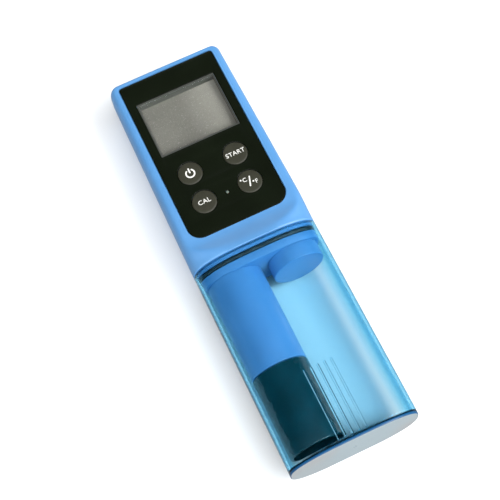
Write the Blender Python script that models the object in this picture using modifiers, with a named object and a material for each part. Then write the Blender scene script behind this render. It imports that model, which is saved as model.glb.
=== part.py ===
"""Hand-held digital pH meter with its clear storage cup, lying on its back.

+X is to the right of the display, +Y towards the head, +Z out of the display.
Z = 0 is the flat back. Y = 0 is halfway along, so the cup's end is at -87 mm.
"""
import math

import bmesh
import bpy

MM = 0.001

# ---- driving dimensions (mm) ----
LENGTH = 174.0
HALF_WIDTH = 26.0            # half the width at the collar and along the cup
HEAD_END_HALF_WIDTH = 24.7   # the head narrows a little towards its end
MID_Z = 13.0                 # height of the widest plane, where the shells part
FRONT_RISE = 12.6            # collar and cup, from the widest plane to the front
BACK_DROP = 13.4             # the same to the back, before the back is cut flat at Z = 0
SOFT_POWER = 2.8             # superellipse power of the collar and the cup
BOXY_POWER = 5.0             # power of the head's front half
BACK_POWER = 3.2             # power of the head's back half
FACE_Z = 23.1                # flat front of the head
PANEL_Z = 22.9               # outer face of the black panel

HEAD_END = LENGTH / 2
CUP_END = -LENGTH / 2
SEAM_Y = -1.25               # joint between the head and the cup's rim
NECK_END = -8.8
PROBE_SPLIT = -49.15         # where the black guard starts
GUARD_END = -82.0
STUB_END = -15.1

GAP = 0.3                    # between pieces that touch
SHELL_WALL = 2.0
CUP_WALL = 1.3
CUP_FLOOR = 2.1

PANEL_HALF_WIDTH = 21.0
PANEL_BOTTOM = 9.0
PANEL_TOP = 85.2
PANEL_THICK = 0.8
POCKET_Z = PANEL_Z - PANEL_THICK - GAP
CEILING_Z = POCKET_Z - 1.8   # inside of the front shell under the panel

WINDOW_HALF_WIDTH = 17.0
WINDOW_BOTTOM = 48.45
WINDOW_TOP = 74.65

BUTTON_X = 9.8
BUTTON_ROWS = (23.1, 36.9)
BUTTON_RADIUS = 4.95
BUTTON_TRAVEL = 0.45
KEY_FLANGE_RADIUS = 5.9
KEY_STEM_RADIUS = 1.6
SWITCH_TOP_Z = 17.3
LIGHT_Y = 22.9
LIGHT_HOLE_RADIUS = 0.75

BOARD_Z = 14.4               # underside of the circuit board
BOARD_THICK = 1.6
BOARD_TOP_Z = BOARD_Z + BOARD_THICK

SCREW_X = 15.5
SCREW_ROWS = (14.0, 81.5)
SCREW_RADIUS = 1.0
SCREW_HEAD_RADIUS = 2.2
SCREW_HEAD_Z = (2.9, 4.2)    # face and seat of the sunk head
SCREW_TIP_Z = 17.8
BOSS_RADIUS = 3.0

DOOR_START = 20.3
DOOR_HALF_WIDTH = 11.2
DOOR_RAIL_HALF_WIDTH = 12.3
DOOR_RAIL_Z = 1.5
DOOR_TOP_Z = 2.5
DOOR_LIP = 0.8               # how far the rails reach past the door's face at its closed end

CELL_X = 5.45                # AAA cells side by side
CELL_Z = 7.9
CELL_RADIUS = 5.2
CELL_LENGTH = 44.5
BAY_START = 26.0
BAY_END = 77.5
BAY_HALF_WIDTH = 11.1
TRAY_WALL = 2.7

PROBE_X = -12.2
PROBE_Z = MID_Z - 0.3
PROBE_HALF = (11.3, 10.6)    # half width and half depth
STUB_X = 12.5
STUB_Z = MID_Z - 0.2
STUB_HALF = (10.6, 10.3)
SENSOR_POWER = 2.0
SPIGOT_END = -1.5            # inner end of both sensors' spigots
NUT_Y = -3.6
HOLDER_END = -55.5           # where the electrode leaves the probe
BULB_RADIUS = 5.8
BULB_CENTRE = -70.2
PLUG_TOP_Z = 21.6            # front of the part of the neck that is inside the shells
LEAD_X = 10.0                # where both leads meet the board
SPIGOT_RADIUS = 5.0          # both sensors pass through the neck's wall on these

GROOVE = (-5.35, -3.25)      # the neck's groove for the cup's seal

RIB_PITCH = 2.7
RIB_COUNT = 5
RIB_RADIUS = 0.45
RIB_SPAN = (-85.0, -56.3)

AROUND = 64                  # points round the housing
AROUND_SENSOR = 40           # points round the probe and the stub
ROUND_STEPS = 24             # steps round a turned piece

# ---- colours (linear RGB), roughness, metallic ----
FINISHES = {
    "blue_abs": ((0.13, 0.42, 0.83), 0.32, 0.0),
    "black_panel": ((0.008, 0.010, 0.006), 0.30, 0.0),
    "grey_key": ((0.060, 0.064, 0.040), 0.45, 0.0),
    "grey_frame": ((0.10, 0.105, 0.09), 0.5, 0.0),
    "lcd": ((0.23, 0.235, 0.20), 0.25, 0.0),
    "clear": ((0.9, 0.93, 0.93), 0.05, 0.0),
    "cup_blue": ((0.27, 0.63, 0.90), 0.08, 0.0),
    "black_rubber": ((0.012, 0.013, 0.014), 0.7, 0.0),
    "black_abs": ((0.010, 0.011, 0.012), 0.45, 0.0),
    "white_abs": ((0.75, 0.75, 0.72), 0.5, 0.0),
    "board": ((0.02, 0.16, 0.06), 0.45, 0.0),
    "steel": ((0.55, 0.55, 0.54), 0.3, 1.0),
    "cell": ((0.45, 0.40, 0.10), 0.35, 0.6),
    "glass": ((0.9, 0.95, 0.95), 0.02, 0.0),
}


def clear_scene():
    for old in list(bpy.data.objects):
        bpy.data.objects.remove(old, do_unlink=True)


clear_scene()
PARTS = bpy.data.collections.new("digital_ph_meter")
CUTTERS = bpy.data.collections.new("cutters")
for group in (PARTS, CUTTERS):
    bpy.context.scene.collection.children.link(group)


# ---- making and placing objects ----
def finish_of(name):
    """The named finish as a Principled material, made once."""
    if name in bpy.data.materials:
        return bpy.data.materials[name]
    colour, rough, metal = FINISHES[name]
    material = bpy.data.materials.new(name)
    material.use_nodes = True
    shader = material.node_tree.nodes["Principled BSDF"]
    shader.inputs["Base Color"].default_value = (*colour, 1.0)
    shader.inputs["Roughness"].default_value = rough
    shader.inputs["Metallic"].default_value = metal
    material.diffuse_color = (*colour, 1.0)
    return material


def put(name, mesh, finish=None):
    """Link a mesh as a part, or as a cutter where it has no finish."""
    thing = bpy.data.objects.new(name, mesh)
    if finish:
        mesh.materials.append(finish_of(finish))
        mesh.shade_smooth()
        mesh.set_sharp_from_angle(angle=math.radians(32))
        PARTS.objects.link(thing)
    else:
        thing.hide_render = True
        thing.display_type = "WIRE"
        CUTTERS.objects.link(thing)
    return thing


def mesh_from(name, bm):
    bmesh.ops.recalc_face_normals(bm, faces=bm.faces[:])
    mesh = bpy.data.meshes.new(name)
    bm.to_mesh(mesh)
    bm.free()
    return mesh


def loft(name, rings, finish=None, closed=False):
    """Skin a chain of equal rings. A closed chain is a tube that meets itself."""
    bm = bmesh.new()
    loops = [[bm.verts.new((x * MM, y * MM, z * MM)) for x, y, z in ring] for ring in rings]
    pairs = list(zip(loops, loops[1:]))
    if closed:
        pairs.append((loops[-1], loops[0]))
    count = len(loops[0])
    for a, b in pairs:
        for i in range(count):
            j = (i + 1) % count
            bm.faces.new((a[i], a[j], b[j], b[i]))
    if not closed:
        bm.faces.new(loops[0])
        bm.faces.new(loops[-1])
    return put(name, mesh_from(name, bm), finish)


def box(name, low, high, finish=None):
    bm = bmesh.new()
    bmesh.ops.create_cube(bm, size=1.0)
    size = [(b - a) * MM for a, b in zip(low, high)]
    centre = [(a + b) / 2 * MM for a, b in zip(low, high)]
    bmesh.ops.scale(bm, vec=size, verts=bm.verts)
    bmesh.ops.translate(bm, vec=centre, verts=bm.verts)
    return put(name, mesh_from(name, bm), finish)


def rounded_outline(low, high, low_radius, high_radius, steps=8):
    """Plan outline of a rectangle whose low-Y and high-Y corners have their own radii."""
    corners = (
        (high[0] - low_radius, low[1] + low_radius, low_radius, -90),
        (high[0] - high_radius, high[1] - high_radius, high_radius, 0),
        (low[0] + high_radius, high[1] - high_radius, high_radius, 90),
        (low[0] + low_radius, low[1] + low_radius, low_radius, 180),
    )
    points = []
    for x, y, radius, start in corners:
        for step in range(steps + 1):
            angle = math.radians(start + 90 * step / steps)
            points.append((x + radius * math.cos(angle), y + radius * math.sin(angle)))
    return points


def plate(name, outline, low_z, high_z, finish=None):
    """A flat outline as a filled 2D curve, extruded and made a welded mesh."""
    curve = bpy.data.curves.new(name, "CURVE")
    curve.dimensions = "2D"
    curve.fill_mode = "BOTH"
    curve.extrude = (high_z - low_z) / 2 * MM
    spline = curve.splines.new("POLY")
    spline.points.add(len(outline) - 1)
    for point, (x, y) in zip(spline.points, outline):
        point.co = (x * MM, y * MM, 0.0, 1.0)
    spline.use_cyclic_u = True
    return mesh_of_curve(name, curve, (0, 0, (low_z + high_z) / 2), finish)


def wire(name, route, radius, finish):
    """A round wire along a list of points, with filled ends."""
    curve = bpy.data.curves.new(name, "CURVE")
    curve.dimensions = "3D"
    curve.bevel_depth = radius * MM
    curve.bevel_resolution = 2
    curve.use_fill_caps = True
    spline = curve.splines.new("POLY")
    spline.points.add(len(route) - 1)
    for point, (x, y, z) in zip(spline.points, route):
        point.co = (x * MM, y * MM, z * MM, 1.0)
    return mesh_of_curve(name, curve, (0, 0, 0), finish)


def mesh_of_curve(name, curve, place, finish):
    guide = bpy.data.objects.new(name + "_guide", curve)
    CUTTERS.objects.link(guide)
    bpy.context.view_layer.update()
    seen = guide.evaluated_get(bpy.context.evaluated_depsgraph_get())
    mesh = bpy.data.meshes.new_from_object(seen)
    bm = bmesh.new()
    bm.from_mesh(mesh)
    bmesh.ops.remove_doubles(bm, verts=bm.verts, dist=1e-7)
    bmesh.ops.translate(bm, vec=[v * MM for v in place], verts=bm.verts)
    bpy.data.objects.remove(guide, do_unlink=True)
    return put(name, mesh_from(name, bm), finish)


def turned(name, profile, place, finish=None, along="Z", steps=ROUND_STEPS):
    """Turn a profile of (radius, height) points, given top to bottom, with Screw."""
    mesh = bpy.data.meshes.new(name)
    points = [(radius * MM, 0.0, height * MM) for radius, height in profile]
    mesh.from_pydata(points, [(i, i + 1) for i in range(len(points) - 1)], [])
    thing = put(name, mesh, finish)
    screw = thing.modifiers.new("Turn", "SCREW")
    screw.steps = steps
    screw.render_steps = steps
    screw.use_merge_vertices = True
    screw.merge_threshold = 1e-6
    screw.use_smooth_shade = True
    thing.location = [v * MM for v in place]
    if along == "Y":
        thing.rotation_euler = (math.radians(-90), 0, 0)
    return thing


def change(thing, tool, operation="DIFFERENCE"):
    modifier = thing.modifiers.new(operation.title() + " " + tool.name, "BOOLEAN")
    modifier.operation = operation
    modifier.solver = "EXACT"
    modifier.object = tool


def peg(name, x, y, radius, low_z, high_z, steps=ROUND_STEPS):
    """A plain round cutter or boss standing along Z."""
    return turned(name, [(0, high_z), (radius, high_z), (radius, low_z), (0, low_z)], (x, y, 0), steps=steps)


# ---- cross-sections ----
def superellipse(half_width, rise, drop, front_power, back_power, count):
    """Points (x, height above the middle) anticlockwise from +X."""
    points = []
    for i in range(count):
        angle = 2 * math.pi * i / count
        c, s = math.cos(angle), math.sin(angle)
        power = front_power if s >= 0 else back_power
        height = rise if s >= 0 else drop
        x = math.copysign(abs(c) ** (2 / power), c) * half_width
        points.append((x, math.copysign(abs(s) ** (2 / power), s) * height))
    return points


def body_ring(y, inset=0.0, top=None, front_power=SOFT_POWER, back_power=SOFT_POWER, half_width=HALF_WIDTH):
    """One oval section of the housing, set in from its outer face and cut flat at the back."""
    section = superellipse(
        half_width - inset, FRONT_RISE - inset, BACK_DROP - inset, front_power, back_power, AROUND
    )
    ceiling = top if top is not None else MID_Z + FRONT_RISE
    return [(x, y, min(max(MID_Z + z, inset), ceiling)) for x, z in section]


def ease(value, start, end):
    t = min(max((value - start) / (end - start), 0.0), 1.0)
    return t * t * (3 - 2 * t)


def head_ring(y, inset=0.0, side_inset=0.0, ceiling=None):
    """The head's section: oval at the collar, then boxy with a flat front."""
    share = ease(y, SEAM_Y, 14.0)
    narrowing = (HALF_WIDTH - HEAD_END_HALF_WIDTH) * (y - SEAM_Y) / (HEAD_END - SEAM_Y)
    front = MID_Z + FRONT_RISE
    top = front + (FACE_Z - front) * ease(y, SEAM_Y, 8.4) - inset
    return body_ring(
        y,
        inset=inset,
        top=min(top, ceiling) if ceiling is not None else top,
        front_power=SOFT_POWER + (BOXY_POWER - SOFT_POWER) * share,
        back_power=SOFT_POWER + (BACK_POWER - SOFT_POWER) * share,
        half_width=HALF_WIDTH - narrowing - side_inset,
    )


def sensor_ring(centre, half, y, inset=0.0):
    width, depth = half[0] - inset, half[1] - inset
    section = superellipse(width, depth, depth, SENSOR_POWER, SENSOR_POWER, AROUND_SENSOR)
    return [(centre[0] + x, y, centre[1] + z) for x, z in section]


def round_ring(centre, radius, y):
    angles = [2 * math.pi * i / AROUND_SENSOR for i in range(AROUND_SENSOR)]
    return [(centre[0] + radius * math.cos(a), y, centre[1] + radius * math.sin(a)) for a in angles]


# ---- the head's two shells ----
def head_solid(name, finish):
    """The head's outer form, with its end edge rounded more at the sides than at the front."""
    edge = 0.7
    corner = 2.2
    first = SEAM_Y + GAP / 2
    stations = [first, 2, 5, 8.4, 14, HEAD_END - corner]
    stations += [HEAD_END - corner * (1 - math.sin(math.radians(a))) for a in (35, 60, 76)]
    rings = []
    for y in stations + [HEAD_END]:
        past_corner = max(y - (HEAD_END - corner), 0.0)
        past_edge = max(y - (HEAD_END - edge), 0.0)
        side_inset = corner - math.sqrt(max(corner**2 - past_corner**2, 0.0))
        lowered = edge - math.sqrt(max(edge**2 - past_edge**2, 0.0))
        ring = head_ring(y, side_inset=side_inset)
        rings.append([(x, yy, min(z, FACE_Z - lowered) if past_edge else z) for x, yy, z in ring])
    return loft(name, rings, finish)


def head_cavity(name):
    stations = (SEAM_Y - 2, 2, 5, 8.4, 14, HEAD_END - SHELL_WALL)
    rings = []
    for y in stations:
        front = MID_Z + FRONT_RISE - SHELL_WALL
        ceiling = front + (CEILING_Z - front) * ease(y, SEAM_Y, 7.0)
        rings.append(head_ring(max(y, SEAM_Y), inset=SHELL_WALL, ceiling=ceiling))
        rings[-1] = [(x, y, z) for x, _, z in rings[-1]]
    return loft(name, rings)


def window_cutter(name, grow, low_z, high_z):
    return box(
        name,
        (-WINDOW_HALF_WIDTH - grow, WINDOW_BOTTOM - grow, low_z),
        (WINDOW_HALF_WIDTH + grow, WINDOW_TOP + grow, high_z),
    )


def button_places():
    names = {
        "cal": (-BUTTON_X, BUTTON_ROWS[0]),
        "unit": (BUTTON_X, BUTTON_ROWS[0]),
        "power": (-BUTTON_X, BUTTON_ROWS[1]),
        "start": (BUTTON_X, BUTTON_ROWS[1]),
    }
    return names.items()


def screw_places():
    return [(x, y) for y in SCREW_ROWS for x in (-SCREW_X, SCREW_X)]


def panel_outline(shrink):
    low = (-PANEL_HALF_WIDTH + shrink, PANEL_BOTTOM + shrink)
    high = (PANEL_HALF_WIDTH - shrink, PANEL_TOP - shrink)
    return rounded_outline(low, high, 5.8 - shrink, 1.6 - shrink)


def front_shell():
    shell = head_solid("front_shell", "blue_abs")
    change(shell, head_cavity("front_cavity"))
    for i, (x, y) in enumerate(screw_places()):
        change(shell, peg(f"front_boss_{i}", x, y, BOSS_RADIUS, MID_Z - 1, CEILING_Z + 0.5), "UNION")
    change(shell, box("front_half_cut", (-40, -20, -10), (40, 100, MID_Z + GAP / 2)))
    pilot = SCREW_RADIUS + 0.25
    for i, (x, y) in enumerate(screw_places()):
        change(shell, peg(f"pilot_{i}", x, y, pilot, MID_Z - 2, SCREW_TIP_Z + 0.8))
    change(shell, plate("panel_pocket", panel_outline(0.0), POCKET_Z, FACE_Z + 3))
    change(shell, window_cutter("shell_window", GAP, CEILING_Z - 1, POCKET_Z + 1))
    for name, (x, y) in button_places():
        change(shell, peg(f"shell_hole_{name}", x, y, BUTTON_RADIUS + GAP, CEILING_Z - 1, POCKET_Z + 1))
    light_hole = LIGHT_HOLE_RADIUS + 0.15
    change(shell, peg("shell_hole_light", 0, LIGHT_Y, light_hole, CEILING_Z - 1, POCKET_Z + 1))


def back_shell():
    shell = head_solid("back_shell", "blue_abs")
    change(shell, head_cavity("back_cavity"))
    for i, (x, y) in enumerate(screw_places()):
        change(shell, peg(f"back_boss_{i}", x, y, BOSS_RADIUS, SHELL_WALL - 0.3, MID_Z + 1), "UNION")
    change(shell, box("back_half_cut", (-40, -20, MID_Z - GAP / 2), (40, 100, 40)))
    hole = SCREW_RADIUS + 0.4
    sink = SCREW_HEAD_RADIUS + GAP
    seat = SCREW_HEAD_Z[1] + GAP
    bore = [(0, MID_Z + 2), (hole, MID_Z + 2), (hole, seat), (sink, seat), (sink, -2), (0, -2)]
    for i, (x, y) in enumerate(screw_places()):
        change(shell, turned(f"screw_bore_{i}", bore, (x, y, 0)))
    slot_start = DOOR_START - GAP
    rail = DOOR_RAIL_HALF_WIDTH + GAP
    mouth = DOOR_HALF_WIDTH + GAP
    change(shell, box("door_mouth", (-mouth, slot_start + DOOR_LIP, -2), (mouth, HEAD_END + 5, DOOR_RAIL_Z)))
    rails_low = (-rail, slot_start, DOOR_RAIL_Z - GAP)
    change(shell, box("door_rails", rails_low, (rail, HEAD_END + 5, DOOR_TOP_Z + GAP)))


def case_screws():
    """Cross-head self-tapping screws, sunk in the back shell."""
    face, seat = SCREW_HEAD_Z
    profile = [
        (0, SCREW_TIP_Z), (0.5 * SCREW_RADIUS, SCREW_TIP_Z - 0.4), (SCREW_RADIUS, SCREW_TIP_Z - 1.2),
        (SCREW_RADIUS, seat), (SCREW_HEAD_RADIUS, seat), (SCREW_HEAD_RADIUS, face + 0.4),
        (SCREW_HEAD_RADIUS - 0.6, face), (0, face),
    ]
    slot_long, slot_wide, slot_deep = 1.2, 0.25, 0.6
    for i, (x, y) in enumerate(screw_places()):
        screw = turned(f"case_screw_{i + 1}", profile, (x, y, 0), "steel")
        for turn, (wide, tall) in enumerate(((slot_long, slot_wide), (slot_wide, slot_long))):
            low = (x - wide, y - tall, face - 1)
            high = (x + wide, y + tall, face + slot_deep)
            change(screw, box(f"cross_{i}_{turn}", low, high))


# ---- display and keys ----
def panel():
    sheet = plate("panel_overlay", panel_outline(GAP), PANEL_Z - PANEL_THICK, PANEL_Z, "black_panel")
    change(sheet, window_cutter("panel_window", 0.2, PANEL_Z - 3, PANEL_Z + 2))
    for name, (x, y) in button_places():
        change(sheet, peg(f"panel_hole_{name}", x, y, BUTTON_RADIUS + 0.2, PANEL_Z - 3, PANEL_Z + 2))
    change(
        sheet,
        peg("panel_hole_light", 0, LIGHT_Y, LIGHT_HOLE_RADIUS, PANEL_Z - 3, PANEL_Z + 2, steps=16),
    )


def display():
    """The frame holds the liquid-crystal glass below and the clear lens above."""
    w, low, high = WINDOW_HALF_WIDTH, WINDOW_BOTTOM, WINDOW_TOP
    foot_z, flange_z = 17.0, 19.6
    glass_z = (foot_z + 0.2, 19.0)
    lens_z = (22.05, 22.7)
    ledge, seat = 0.9, 0.45      # the collar's wall below the lens, and beside it
    frame = box("lcd_frame", (-20.5, 45.0, foot_z), (20.5, 78.0, flange_z), "grey_frame")
    change(frame, box("frame_collar", (-w, low, flange_z - 1.1), (w, high, PANEL_Z - 0.1)), "UNION")
    change(frame, box("glass_pocket", (-19.2, 46.3, foot_z - 1), (19.2, 76.7, glass_z[1] + 0.2)))
    change(frame, box("view_window", (-w + ledge, low + ledge, 18.0), (w - ledge, high - ledge, 24.0)))
    change(frame, box("lens_seat", (-w + seat, low + seat, lens_z[0] - 0.15), (w - seat, high - seat, 24.0)))
    box("lcd_glass", (-18.9, 46.6, glass_z[0]), (18.9, 76.4, glass_z[1]), "lcd")
    loose = seat + 0.2
    box("display_lens", (-w + loose, low + loose, lens_z[0]), (w - loose, high - loose, lens_z[1]), "clear")
    box("lcd_connector", (-15.0, 47.0, BOARD_TOP_Z + 0.1), (15.0, 49.0, foot_z + 0.05), "black_rubber")


def keys():
    """Each key is a flanged cap over a tactile switch on the board."""
    foot_z = SWITCH_TOP_Z + BUTTON_TRAVEL + 0.15
    flange_z = (CEILING_Z - 1.1, CEILING_Z - GAP)
    cap = [
        (0, PANEL_Z + 0.1), (BUTTON_RADIUS - 0.25, PANEL_Z + 0.1), (BUTTON_RADIUS, PANEL_Z - 0.15),
        (BUTTON_RADIUS, flange_z[1]), (KEY_FLANGE_RADIUS, flange_z[1]), (KEY_FLANGE_RADIUS, flange_z[0]),
        (KEY_STEM_RADIUS, flange_z[0]), (KEY_STEM_RADIUS, foot_z), (0, foot_z),
    ]
    base_z = BOARD_TOP_Z + 0.1
    dome = [
        (0, SWITCH_TOP_Z), (1.2, SWITCH_TOP_Z), (1.3, SWITCH_TOP_Z - 0.1), (1.3, base_z + 0.7),
        (2.4, base_z + 0.7), (2.6, base_z + 0.5), (2.6, base_z), (0, base_z),
    ]
    for name, (x, y) in button_places():
        turned(f"button_{name}", cap, (x, y, 0), "grey_key", steps=32)
        turned(f"switch_{name}", dome, (x, y, 0), "steel", steps=20)


def electronics():
    board_low = (-20.3, 17.6, BOARD_Z)
    board = box("circuit_board", board_low, (20.3, 78.0, BOARD_TOP_Z), "board")
    hole_y, hole_radius = board_low[1] + 2.4, 0.6
    for i, x in enumerate((-LEAD_X, LEAD_X)):
        hole = peg(f"lead_hole_{i}", x, hole_y, hole_radius, BOARD_Z - 1, BOARD_TOP_Z + 1, steps=16)
        change(board, hole)
    chip_top = BOARD_TOP_Z + 0.8
    box("status_led", (-0.8, LIGHT_Y - 0.5, BOARD_TOP_Z + 0.1), (0.8, LIGHT_Y + 0.5, chip_top), "white_abs")
    face, radius = PANEL_Z - 0.05, LIGHT_HOLE_RADIUS - 0.2
    foot = chip_top + GAP
    pipe = [(0, face), (radius - 0.05, face), (radius, face - 0.1), (radius, foot), (0, foot)]
    turned("light_pipe", pipe, (0, LIGHT_Y, 0), "clear", steps=16)


# ---- battery bay ----
def battery_bay():
    inner = BAY_HALF_WIDTH
    tray_low = (-inner - TRAY_WALL, BAY_START - 1.5, DOOR_TOP_Z + 0.4)
    tray_high = (inner + TRAY_WALL, BAY_END + 1.5, BOARD_Z - GAP)
    tray = box("battery_tray", tray_low, tray_high, "black_abs")
    pocket_top = CELL_Z + CELL_RADIUS + GAP
    change(tray, box("cell_pocket", (-inner, BAY_START, 0.0), (inner, BAY_END, pocket_top)))

    door_low = (-DOOR_HALF_WIDTH, DOOR_START + DOOR_LIP, 0.1)
    door = box("battery_door", door_low, (DOOR_HALF_WIDTH, HEAD_END - 0.1, DOOR_TOP_Z), "blue_abs")
    rail_low = (-DOOR_RAIL_HALF_WIDTH, DOOR_START, DOOR_RAIL_Z)
    rail_high = (DOOR_RAIL_HALF_WIDTH, HEAD_END - 0.1, DOOR_TOP_Z)
    change(door, box("door_rail", rail_low, rail_high), "UNION")
    grips, grip_pitch, grip_wide = 5, 2.0, 0.9
    for i in range(grips):
        y = DOOR_START + 5 + grip_pitch * i
        change(door, box(f"door_grip_{i}", (-6, y, -1), (6, y + grip_wide, 0.6)))

    # the right cell lies the other way round, so its spring is at the collar end
    half = CELL_LENGTH / 2
    tip, rim = 1.9, 4.9
    profile = [
        (0, half), (tip, half), (tip, half - 0.8), (rim, half - 0.8), (CELL_RADIUS, half - 1.1),
        (CELL_RADIUS, 0.3 - half), (rim, -half), (0, -half),
    ]
    strip, strip_half = 3.5, 0.25
    for side, x, facing in (("left", -CELL_X, 1), ("right", CELL_X, -1)):
        middle = (BAY_START + BAY_END) / 2
        strip_y = middle - facing * ((BAY_END - BAY_START) / 2 - 0.45)
        tip_y = strip_y + facing * (strip_half + GAP)
        base_y = tip_y + facing * CELL_LENGTH
        # the profile runs along +Y, and the left cell's tip points to -Y
        cell = turned(f"battery_{side}", profile, (x, (tip_y + base_y) / 2, CELL_Z), "cell", "Y", 28)
        if facing > 0:
            cell.rotation_euler = (math.radians(90), 0, 0)
        strip_low = (x - strip, strip_y - strip_half, CELL_Z - strip)
        box(f"contact_{side}", strip_low, (x + strip, strip_y + strip_half, CELL_Z + strip), "steel")
        battery_spring(f"battery_spring_{side}", x, base_y + facing * 0.8, facing)


def battery_spring(name, x, start_y, facing):
    """A conical spring that widens towards the tray's end wall."""
    turns, per_turn, length = 3, 10, 4.2
    small, growth = 2.2, 1.3
    steps = turns * per_turn
    route = []
    for i in range(steps + 1):
        share = i / steps
        angle = 2 * math.pi * turns * share
        radius = small + growth * share
        y = start_y + facing * length * share
        route.append((x + radius * math.cos(angle), y, CELL_Z + radius * math.sin(angle)))
    wire(name, route, 0.35, "steel")


# ---- neck, sensors and their guard ----
def neck():
    """The neck plugs into the shells, carries the sensors and seals the cup."""
    rim = SEAM_Y - GAP / 2
    step, groove_inset = 1.6, 2.6
    plug_inset, plug_wall, plug_end = 2.3, 1.9, 2.5
    floor = NECK_END + 2.0
    outside = [
        (NECK_END, step + 0.4), (NECK_END + 0.4, step), (GROOVE[0], step), (GROOVE[0], groove_inset),
        (GROOVE[1], groove_inset), (GROOVE[1], step), (rim, step),
    ]
    plug = [
        (rim, plug_inset), (plug_end, plug_inset),
        (plug_end, plug_inset + plug_wall), (floor, plug_inset + plug_wall),
    ]
    rings = [body_ring(y, inset=inset) for y, inset in outside]
    rings += [body_ring(y, inset=inset, top=PLUG_TOP_Z) for y, inset in plug]
    collar = loft("neck_collar", rings, "blue_abs")
    bore = SPIGOT_RADIUS + GAP
    for name, x, z in (("probe", PROBE_X, PROBE_Z), ("stub", STUB_X, STUB_Z)):
        profile = [(0, 5), (bore, 5), (bore, -5), (0, -5)]
        change(collar, turned(f"neck_bore_{name}", profile, (x, NECK_END + 1, z), along="Y"))

    sides = 6
    across, thick = 0.8, 0.5
    seal = []
    for i in range(sides):
        angle = 2 * math.pi * (i + 0.5) / sides
        y = sum(GROOVE) / 2 + across * math.cos(angle)
        seal.append(body_ring(y, inset=step + 0.4 + thick * math.sin(angle)))
    loft("cup_seal", seal, "black_rubber", closed=True)


def sensor_fixings():
    """Each sensor's spigot is sealed and held by a nut inside the neck."""
    thick = 0.65
    middle = SPIGOT_RADIUS + thick + 0.45
    corners = [math.radians(45 * i) for i in range(9)]
    ring = [(middle + thick * math.sin(a), thick * math.cos(a)) for a in corners]
    bore = SPIGOT_RADIUS + GAP
    nut_radius, nut_half = 7.5, 1.3
    for name, x, z in (("probe", PROBE_X, PROBE_Z), ("stub", STUB_X, STUB_Z)):
        turned(f"{name}_seal", ring, (x, NECK_END + 2.95, z), "black_rubber", "Y", 24)
        outside = [(0, nut_half), (nut_radius, nut_half), (nut_radius, -nut_half), (0, -nut_half)]
        nut = turned(f"{name}_nut", outside, (x, NUT_Y, z), "white_abs", "Y", 6)
        inside = [(0, 3), (bore, 3), (bore, -3), (0, -3)]
        change(nut, turned(f"{name}_nut_bore", inside, (x, NUT_Y, z), along="Y"))


def lead_end(x):
    """The last stretch of a lead, between the screw bosses and up to the board's edge."""
    return [(x, 8, 12.8), (x, 13, 13.6), (x, 15.5, 14.6), (x, 17.2, 15.2)]


def probe():
    centre = (PROBE_X, PROBE_Z)
    place = (PROBE_X, 0, PROBE_Z)
    top = NECK_END - GAP
    lead_bore = 3.0
    barrel_end = PROBE_SPLIT + GAP / 2
    thin, thick = 1.5, 2.9
    rings = [
        round_ring(centre, SPIGOT_RADIUS, SPIGOT_END),
        round_ring(centre, SPIGOT_RADIUS, top),
        sensor_ring(centre, PROBE_HALF, top, 0.3),
        sensor_ring(centre, PROBE_HALF, top - 0.4),
        sensor_ring(centre, PROBE_HALF, barrel_end),
        sensor_ring(centre, PROBE_HALF, barrel_end, thin),
        sensor_ring(centre, PROBE_HALF, HOLDER_END, thin),
        sensor_ring(centre, PROBE_HALF, HOLDER_END, thick),
        sensor_ring(centre, PROBE_HALF, NECK_END - 3.2, thick),
        round_ring(centre, lead_bore, NECK_END - 3.2),
        round_ring(centre, lead_bore, SPIGOT_END),
    ]
    loft("probe_barrel", rings, "blue_abs", closed=True)

    guard_top, guard_wall = PROBE_SPLIT - GAP / 2, 1.2
    guard = [
        sensor_ring(centre, PROBE_HALF, guard_top, 0.2),
        sensor_ring(centre, PROBE_HALF, guard_top - 0.3),
        sensor_ring(centre, PROBE_HALF, GUARD_END + 0.6),
        sensor_ring(centre, PROBE_HALF, GUARD_END, 0.5),
        sensor_ring(centre, PROBE_HALF, GUARD_END, guard_wall),
        sensor_ring(centre, PROBE_HALF, guard_top, guard_wall),
    ]
    loft("sensor_guard", guard, "black_abs", closed=True)

    hole = BULB_RADIUS + GAP
    holder_y = (HOLDER_END + 5.5, HOLDER_END + 0.2)
    holder = [
        sensor_ring(centre, PROBE_HALF, holder_y[0], thick + GAP),
        sensor_ring(centre, PROBE_HALF, holder_y[1], thick + GAP),
        round_ring(centre, hole, holder_y[1]),
        round_ring(centre, hole, holder_y[0]),
    ]
    loft("electrode_holder", holder, "black_abs", closed=True)
    near, far = HOLDER_END - 0.2, HOLDER_END - 1.2
    outer = hole + 1.3
    junction = [(hole, near), (outer, near), (outer, far), (hole, far), (hole, near)]
    turned("reference_junction", junction, place, "white_abs", "Y")
    stem_top = -30.0
    stem = [(0, stem_top), (BULB_RADIUS - 0.8, stem_top), (BULB_RADIUS, stem_top - 0.8)]
    for angle in range(0, 90, 15):
        turn = math.radians(angle)
        stem.append((BULB_RADIUS * math.cos(turn), BULB_CENTRE - BULB_RADIUS * math.sin(turn)))
    stem.append((0, BULB_CENTRE - BULB_RADIUS))
    turned("electrode_glass", stem, place, "glass", "Y")
    route = [(PROBE_X, y, PROBE_Z) for y in (stem_top + 0.4, -20, -10, 2)]
    wire("probe_lead", route + lead_end(-LEAD_X), 0.8, "black_rubber")


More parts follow.
